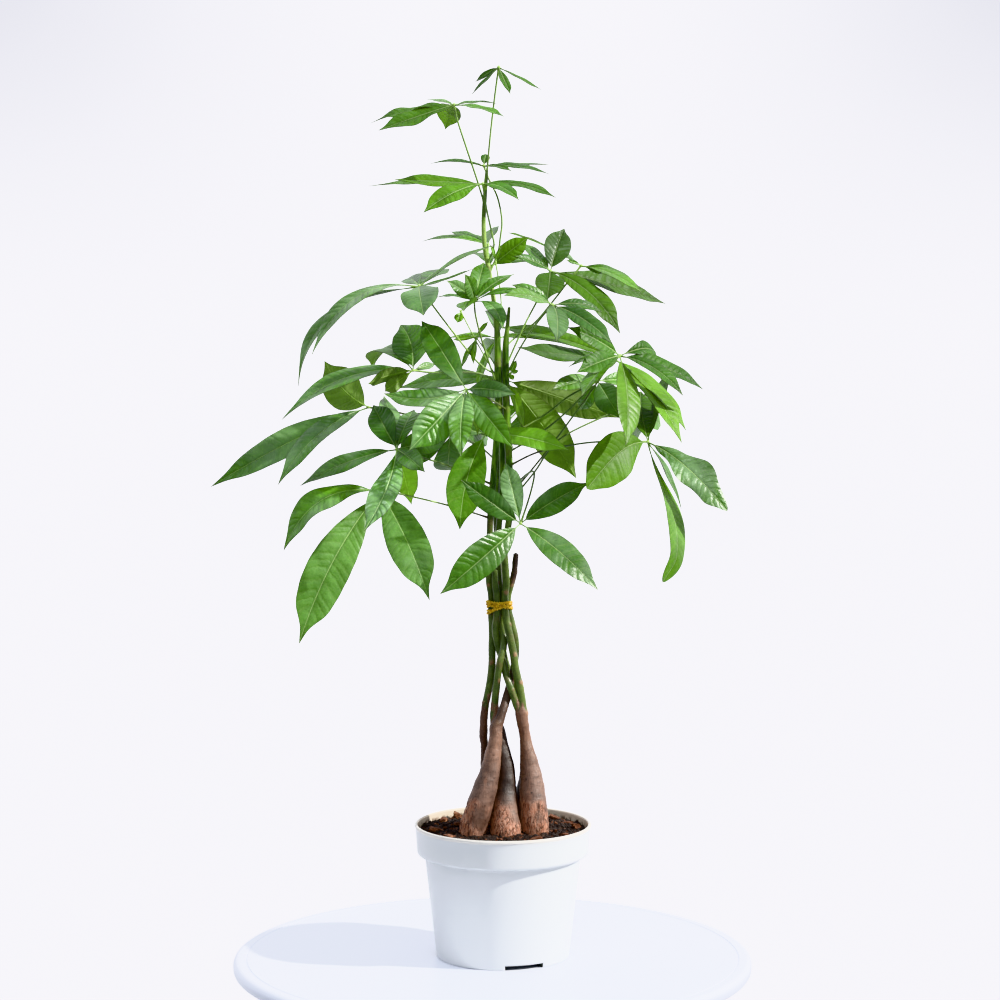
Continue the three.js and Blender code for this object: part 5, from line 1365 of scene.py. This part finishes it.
def pot_object():
    """The pot turned from its profile, with its drain notches cut in the foot."""
    settings = bpy.context.scene.money_pot
    rim, top = settings.rim_radius / MM, settings.height / MM
    low, fold, wall = BAND_LOW_RADIUS, BAND_BOTTOM, POT_WALL
    foot = [(FOOT_RADIUS - 1.4, 0.0), (FOOT_RADIUS - 0.5, 0.15), (FOOT_RADIUS, 0.7)]
    body = [(wall_radius(z), z) for z in np.linspace(2.0, fold - 0.6, 24)]
    under = [
        (BODY_TOP_RADIUS + 0.3, fold), (low - 3.2, fold + 0.1), (low - 1.4, fold + 0.3),
        (low - 0.5, fold + 1.0), (low - 0.1, fold + 2.2), (low, fold + BAND_CURVE),
    ]
    neck, start = rim - 1.0, fold + BAND_CURVE
    band = [(low + (neck - low) * k, start + (top - 4.0 - start) * k) for k in (0.25, 0.5, 0.75, 1.0)]
    turns = np.radians(np.linspace(-60, 190, 14))
    beside, below = rim - LIP_WIDE, top - LIP_HIGH
    lip = [(beside + LIP_WIDE * math.cos(a), below + LIP_HIGH * math.sin(a)) for a in turns]
    inner = [
        (rim - 2.9, top - 3.2), (low - wall + 0.5, fold + 14), (low - wall - 0.3, fold + 4),
        (low - wall - 1.2, fold + 2.4), (BODY_TOP_RADIUS - wall, fold + 1.4),
    ]
    walls = [(wall_radius(z) - wall, z) for z in (80.0, 50.0, 20.0, FLOOR_TOP + 1.0)]
    floor = [(wall_radius(FLOOR_TOP) - wall - 1, FLOOR_TOP), (0, FLOOR_TOP)]
    points, faces = lathe([(0, 0.0), *foot, *body, *under, *band, *lip, *inner, *walls, *floor], 160)
    radius, height = np.hypot(points[:, 0], points[:, 1]), points[:, 2]
    outline = np.array([*foot, *body, *under[-1:], *band])
    outer = np.interp(height, outline[:, 1], outline[:, 0])
    inside = smoothstep(0.9, 1.7, outer - radius) * (height > FLOOR_TOP - 0.5)
    # Cream at the lip: partly stain, partly painted warm light shining through the thin rim.
    cream = smoothstep(top - 3.9, top - 3.2, height) * (radius > rim - 3.0)
    parts = Parts()
    parts.add(points, faces, inside=np.maximum(inside, cream * 0.4))
    shell = parts.object("pot_shell", ["pot", "drain"], 40.0)
    tool = notch_cutters()
    cut = shell.modifiers.new("notches", "BOOLEAN")
    cut.operation = "DIFFERENCE"
    cut.solver = "EXACT"
    cut.material_mode = "INDEX"
    cut.object = tool
    return plain(shell, tool)


def lumps(x, y):
    """Height of the soil's gentle lumps."""
    r = np.hypot(x, y) / 80
    mound = SOIL_RISE * (1 - r * r) + 0.9 * np.sin(0.17 * x + 1.3) * np.cos(0.21 * y)
    return mound + 0.7 * np.sin(0.31 * x - 0.26 * y + 0.5) + 0.5 * np.cos(0.44 * y + 0.13 * x)


def soil_radius(z):
    """The soil's outer radius below the pot's band."""
    return wall_radius(z) - POT_WALL - SOIL_GAP


def soil_object():
    """The body of the potting mix with a lumpy top, and the mask that scatters crumbs on it."""
    band = BAND_LOW_RADIUS - POT_WALL - 0.3 - SOIL_GAP
    low = FLOOR_TOP + 0.2
    profile = [
        (0, low), (soil_radius(low) - 1.0, low), (soil_radius(low), low + 1), (soil_radius(50.0), 50.0),
        (soil_radius(BAND_BOTTOM) - 0.6, BAND_BOTTOM + 2.3), (band, BAND_BOTTOM + 5),
        (band + 0.3, SOIL_EDGE),
    ]
    profile += [(r, SOIL_EDGE) for r in np.linspace(SOIL_REACH, 1.5, 52)]
    points, faces = lathe([*profile, (0, SOIL_EDGE)], 180)
    mask = points[:, 2] > SOIL_EDGE - 1
    for i in np.flatnonzero(mask):
        x, y = points[i, :2]
        rough = noise.fractal(Vector((x, y, 0.0)) * 0.22, 0.9, 2.1, 4)
        points[i, 2] = SOIL_EDGE + lumps(x, y) + 1.3 * rough
    parts = Parts()
    parts.add(points, faces, scatter=mask)
    return parts.object("soil_mix", ["soil"], 80.0)


def scatter_group():
    """Crumbs or flakes spread on a surface: named inputs for density, sizes, flatness and seed."""
    tree, w, given = new_group(
        "scatter", "GeometryNodeTree",
        [("Surface", "Geometry", None), ("Density", "Float", 1000.0), ("Smallest", "Float", 0.0005),
         ("Largest", "Float", 0.002), ("Flatness", "Float", 0.7), ("Seed", "Int", 1),
         ("Raggedness", "Float", 0.0004), ("Material", "Material", None)],
        [("Crumbs", "Geometry")],
    )
    seed = given["Seed"]
    mask = w.get("GeometryNodeInputNamedAttribute", {"Name": "scatter"}, "Attribute", data_type="FLOAT")
    points = w.node(
        "GeometryNodeDistributePointsOnFaces",
        {"Mesh": given["Surface"], "Density": mask * given["Density"], "Seed": seed},
    ).outputs
    ball = w.get("GeometryNodeMeshIcoSphere", {"Radius": 1.0, "Subdivisions": 1}, "Mesh")
    span = {2: given["Smallest"], 3: given["Largest"], "Seed": seed}
    size = w.get("FunctionNodeRandomValue", span, 1, data_type="FLOAT")
    span = {0: (0.6, 0.6, 0.5), 1: (1.5, 1.0, 0.9), "Seed": 5}
    stretch = w.get("FunctionNodeRandomValue", span, data_type="FLOAT_VECTOR")
    flat = w.get("ShaderNodeCombineXYZ", {0: 1.0, 1: 1.0, 2: given["Flatness"]})
    span = {0: (-0.7, -0.7, 0.0), 1: (0.7, 0.7, 6.283), "Seed": 9}
    spin = w.get("FunctionNodeRandomValue", span, data_type="FLOAT_VECTOR")
    turned = w.get(
        "FunctionNodeRotateRotation",
        {0: Signal(w, points["Rotation"]), 1: w.get("FunctionNodeEulerToRotation", {0: spin})},
        rotation_space="LOCAL",
    )
    placed = w.get("GeometryNodeInstanceOnPoints", {
        "Points": Signal(w, points["Points"]), "Instance": ball, "Rotation": turned,
        "Scale": w.scale(w.vector("MULTIPLY", stretch, flat), size),
    })
    real = w.get("GeometryNodeRealizeInstances", {0: placed})
    where = w.get("GeometryNodeInputPosition")
    shake = w.get("ShaderNodeTexNoise", {"Vector": where, "Scale": 900.0, "Detail": 1.0}, "Color")
    shake = w.scale(w.vector("SUBTRACT", shake, (0.5, 0.5, 0.5)), given["Raggedness"])
    ragged = w.get("GeometryNodeSetPosition", {"Geometry": real, "Offset": shake})
    done = w.get("GeometryNodeSetMaterial", {"Geometry": ragged, "Material": given["Material"]})
    w.node("NodeGroupOutput", {0: done})
    return tree


def grow(name, mesh, tree, **inputs):
    """The plain mesh that a node tree makes of a mesh, its inputs set by their identifiers."""
    carrier = link(name, mesh)
    modifier = carrier.modifiers.new(tree.name, "NODES")
    modifier.node_group = tree
    sockets = {
        item.name: item.identifier for item in tree.interface.items_tree
        if item.item_type == "SOCKET" and item.in_out == "INPUT"
    }
    for label, value in inputs.items():
        modifier[sockets[label.replace("_", " ").capitalize()]] = value
    return plain(carrier)


def scatter(name, surface, label, **inputs):
    """A plain mesh of crumbs spread over the surface."""
    tree = bpy.data.node_groups.get("scatter") or scatter_group()
    return grow(name, surface.data.copy(), tree, material=finish(label), **inputs)


def chip_block():
    """Points and faces of a cube cut in three each way."""
    block = bmesh.new()
    bmesh.ops.create_cube(block, size=1.0)
    bmesh.ops.subdivide_edges(block, edges=block.edges[:], cuts=2, use_grid_fill=True)
    points = np.array([v.co[:] for v in block.verts])
    faces = [tuple(v.index for v in face.verts) for face in block.faces]
    block.free()
    return points, faces


def chips_object():
    """Bark chips lying in the soil: the large ones in place, smaller ones drawn at random."""
    draw = random.Random(7)
    rows = list(CHIPS)
    for _ in range(150):
        r, a = 77 * math.sqrt(draw.random()), draw.uniform(0, TURN)
        size = draw.uniform(2.2, 6.0)
        wide, thick = size * draw.uniform(0.35, 0.75), size * draw.uniform(0.2, 0.45)
        place = (r * math.cos(a), r * math.sin(a))
        rows.append((*place, size, wide, thick, draw.uniform(0, 3.1), draw.uniform(-0.8, 0.8)))
    cube, faces = chip_block()
    parts = Parts()
    for x, y, length, width, height, turn, tip in rows:
        ragged = np.array([[draw.uniform(-0.14, 0.14) for _ in range(3)] for _ in cube])
        lean = draw.uniform(-0.5, 0.5)
        taper = 1 - draw.uniform(0.1, 0.5) * np.abs(cube[:, :1] * 2) ** 2
        chip = cube * np.concatenate([np.ones_like(taper), taper, taper], axis=1) + ragged
        chip[:, 1] += lean * chip[:, 0]
        chip = chip * np.array([length, width, height])
        cos, sin = math.cos(tip), math.sin(tip)
        chip = chip @ np.array([[cos, 0, -sin], [0, 1, 0], [sin, 0, cos]])
        cos, sin = math.cos(turn), math.sin(turn)
        chip = chip @ np.array([[cos, sin, 0], [-sin, cos, 0], [0, 0, 1]])
        chip = chip + np.array([x, -y, SOIL_EDGE + float(lumps(x, -y)) + height * 0.2])
        parts.add(chip, faces)
    return parts.object("soil_chips", ["chips"], 35.0)


def strand_group():
    """A twisted pair of wires swept along a curve: named inputs for wire radius and twist."""
    tree, w, given = new_group(
        "strand", "GeometryNodeTree",
        [("Path", "Geometry", None), ("Wire radius", "Float", WIRE_RADIUS), ("Twist", "Float", 90.0),
         ("Material", "Material", None)],
        [("Strand", "Geometry")],
    )
    radius = given["Wire radius"]
    ring = w.get("GeometryNodeCurvePrimitiveCircle", {"Resolution": 8, "Radius": radius})
    right = w.get("ShaderNodeCombineXYZ", {0: radius * 1.04})
    pair = w.node("GeometryNodeJoinGeometry")
    for offset in (right, w.scale(right, -1.0)):
        moved = w.get("GeometryNodeTransform", {"Geometry": ring, "Translation": offset})
        w.tree.links.new(moved.socket, pair.inputs[0])
    curve = w.get("GeometryNodeMeshToCurve", {0: given["Path"]})
    curve = w.get("GeometryNodeResampleCurve", {"Curve": curve, "Count": 220})
    travelled = w.get("GeometryNodeSplineParameter", output="Length")
    tilt = travelled * (given["Twist"] * 6.283)
    curve = w.get("GeometryNodeSetCurveTilt", {"Curve": curve, "Tilt": tilt})
    profile = Signal(w, pair.outputs[0])
    wires = w.get("GeometryNodeCurveToMesh", {"Curve": curve, "Profile Curve": profile, "Fill Caps": True})
    real = w.get("GeometryNodeRealizeInstances", {0: w.get("GeometryNodeSetShadeSmooth", {0: wires})})
    done = w.get("GeometryNodeSetMaterial", {"Geometry": real, "Material": given["Material"]})
    w.node("NodeGroupOutput", {0: done})
    return tree


def tie_object():
    """The tie's turns around the bundle, each a twisted pair."""
    points, edges = [], []
    for height, lean, nod, ease in TIE_TURNS:
        first = len(points)
        for i in range(TIE_STEPS):
            angle = 2 * math.pi * i / TIE_STEPS
            u, v = math.cos(angle), math.sin(angle)
            wobble = 0.35 * math.sin(5 * angle + height)
            point = at(
                TIE_CENTRE[0] + (TIE_ACROSS + ease) * u, height + lean * u + nod * v + wobble,
                TIE_CENTRE[1] + (TIE_DEPTH + ease) * v,
            )
            points.append(tuple(point * MM))
            edges.append((first + i, first + (i + 1) % TIE_STEPS))
    mesh = bpy.data.meshes.new("tie_wire")
    mesh.from_pydata(points, edges, [])
    return grow(
        "tie_wire", mesh, strand_group(), wire_radius=WIRE_RADIUS, twist=WIRE_TWIST, material=finish("tie"),
    )


def table_top(radius):
    """A round white top with a rolled edge and a fine groove inside it."""
    edge = []
    for a in np.radians(np.linspace(-90, 90, 13)):
        r, z = radius - TABLE_EDGE + TABLE_EDGE * math.cos(a), TABLE_EDGE * math.sin(a) - TABLE_EDGE
        edge.append((r, z - 2 if z < -TABLE_EDGE else z))
    under = [(0, -TABLE_THICK), (radius - 10, -TABLE_THICK)]
    groove = [(radius - inward, z) for inward, z in GROOVE]
    flat = [(r, 0.0) for r in (radius - 30, 120, 60, 0)]
    points, faces = lathe([*under, *edge, *groove, *flat], 200)
    parts = Parts()
    parts.add(points + TABLE_SHIFT, faces)
    return parts.object("table_top", ["table"], 40.0)


def pale_room(brightness):
    """A pale room: a sunlit wall behind the plant and a dimmer room in front of it."""
    world = bpy.data.worlds.new("pale_room")
    world.use_nodes = True
    w = Wiring(world.node_tree)
    x, y, z = w.split(w.get("ShaderNodeTexCoord", output="Generated"))
    corner = w.step(w.math("ABSOLUTE", x), 0.02, 0.17) * w.step(z, -0.06, 0.07)
    seen = w.get("ShaderNodeBackground", {"Color": w.mix(corner, WALL_LIT, WALL_CORNER), "Strength": 1.0})
    front = w.mix(w.step(z, -0.3, 0.8), ROOM_LOW, ROOM_HIGH)
    left = w.step(x, -0.8, 0.0, 0.6, 0.0) * w.step(z, 0.1, 0.7)
    lit = w.mix(w.step(y, -0.1, 0.75), w.mix(left, front, ROOM_WINDOW), ROOM_BACK)
    fill = w.get("ShaderNodeBackground", {"Color": lit, "Strength": brightness})
    camera_ray = w.get("ShaderNodeLightPath", output="Is Camera Ray")
    both = w.get("ShaderNodeMixShader", {0: camera_ray, 1: fill, 2: seen})
    w.node("ShaderNodeOutputWorld", {"Surface": both})
    return world


def lamp(name, kind, place, power, colour, target, **size):
    """A light that looks from its place at the target."""
    light = bpy.data.lights.new(name, kind)
    light.energy = power
    light.color = colour
    for label, value in size.items():
        setattr(light, label, value)
    made = link(name, light)
    made.location = place
    made.rotation_euler = (Vector(target) - Vector(place)).to_track_quat("-Z", "Y").to_euler()


def place_piece(piece, slot_name, *nodes):
    """Rides the plant's one body and stands for its nodes, hiding them; its slot name is not used."""
    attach(piece, BODY)
    if nodes:
        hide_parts(*nodes)


class MONEYTREE_OT_stage(bpy.types.Operator):
    """Sets the camera, the table top, the pale room and the light."""

    bl_idname = "moneytree.stage"
    bl_label = "Stage"

    def execute(self, context):
        scene = context.scene
        stage = scene.money_stage
        camera = link("camera", bpy.data.cameras.new("camera"))
        camera.location = (VIEW_SIDE * MM, -VIEW_DISTANCE * MM, VIEW_HEIGHT * MM)
        camera.rotation_euler = (math.radians(90 - VIEW_PITCH), 0.0, 0.0)
        camera.data.sensor_width = SENSOR
        camera.data.lens = SENSOR * FOCAL_PIXELS / FRAME_PIXELS
        scene.camera = camera
        table_top(stage.table_radius / MM)
        scene.world = pale_room(stage.sky_strength)
        lamp("sun", "SUN", stage.sun_from, stage.sun_strength, (1.0, 0.97, 0.92), (0, 0, 0), angle=0.022)
        lamp("window", "AREA", (0.5, -1.7, 1.7), 7.0, (0.97, 0.98, 1.0), (0, 0, 0.45), size=1.0)
        scene.view_settings.view_transform = "Khronos PBR Neutral"
        return {"FINISHED"}


class MONEYTREE_OT_pot(bpy.types.Operator):
    """Turns the nursery pot and cuts its drain notches."""

    bl_idname = "moneytree.pot"
    bl_label = "Pot"

    def execute(self, context):
        place_piece(pot_object(), "pot", "pot")
        return {"FINISHED"}


class MONEYTREE_OT_soil(bpy.types.Operator):
    """Fills the pot with potting mix, crumbs and bark chips."""

    bl_idname = "moneytree.soil"
    bl_label = "Soil"

    def execute(self, context):
        density = context.scene.money_pot.crumbs
        mix = soil_object()
        crumbs = scatter(
            "soil_crumbs", mix, "soil", density=density, smallest=0.0005, largest=0.0024, flatness=0.9,
            seed=3, raggedness=0.0009,
        )
        shreds = scatter(
            "soil_shreds", mix, "chips", density=density * 0.05, smallest=0.0006, largest=0.0024,
            flatness=0.4, seed=11, raggedness=0.0008,
        )
        place_piece(mix, "soil", "soil")
        for piece in (crumbs, shreds, chips_object()):
            place_piece(piece, "soil")
        return {"FINISHED"}


class MONEYTREE_OT_trunks(bpy.types.Operator):
    """Grows the swollen trunks with their bark, scars and green stems."""

    bl_idname = "moneytree.trunks"
    bl_label = "Trunks"

    def execute(self, context):
        for name in TRUNKS:
            place_piece(trunk_object(name), "stem", name)
        return {"FINISHED"}


class MONEYTREE_OT_tie(bpy.types.Operator):
    """Winds the twisted tie around the bundle of stems."""

    bl_idname = "moneytree.tie"
    bl_label = "Tie"

    def execute(self, context):
        place_piece(tie_object(), "tie", "tie")
        return {"FINISHED"}


class MONEYTREE_OT_leaves(bpy.types.Operator):
    """Grows each compound leaf: petiole, hub and leaflets."""

    bl_idname = "moneytree.leaves"
    bl_label = "Leaves"

    def execute(self, context):
        for number, leaf in enumerate(LEAVES, 1):
            place_piece(leaf_object(number, leaf), "leaf", f"leaf_{number:02d}")
        return {"FINISHED"}


class MONEYTREE_PT_panel(bpy.types.Panel):
    """The settings and the steps, in order."""

    bl_label = "Money tree"
    bl_space_type = "VIEW_3D"
    bl_region_type = "UI"
    bl_category = "Money tree"

    def draw(self, context):
        for group in (context.scene.money_tree, context.scene.money_pot, context.scene.money_stage):
            box = self.layout.box()
            for name in group.__annotations__:
                box.prop(group, name)
        for operator in OPERATORS:
            self.layout.operator(operator.bl_idname)


OPERATORS = (
    MONEYTREE_OT_stage, MONEYTREE_OT_pot, MONEYTREE_OT_soil, MONEYTREE_OT_trunks, MONEYTREE_OT_tie,
    MONEYTREE_OT_leaves,
)
SETTINGS = {"money_tree": PlantSettings, "money_pot": PotSettings, "money_stage": StageSettings}
CLASSES = (*SETTINGS.values(), *OPERATORS, MONEYTREE_PT_panel)


def register():
    """Adds the classes and the scene's settings."""
    for cls in CLASSES:
        bpy.utils.register_class(cls)
    for name, cls in SETTINGS.items():
        setattr(bpy.types.Scene, name, PointerProperty(type=cls))


def unregister():
    """Takes away what register added."""
    for name in SETTINGS:
        delattr(bpy.types.Scene, name)
    for cls in reversed(CLASSES):
        bpy.utils.unregister_class(cls)


def main():
    """Builds the stage and the plant."""
    register()
    bpy.ops.moneytree.stage()
    bpy.ops.moneytree.pot()
    bpy.ops.moneytree.soil()
    bpy.ops.moneytree.trunks()
    bpy.ops.moneytree.tie()
    bpy.ops.moneytree.leaves()


if __name__ == "__main__":
    main()
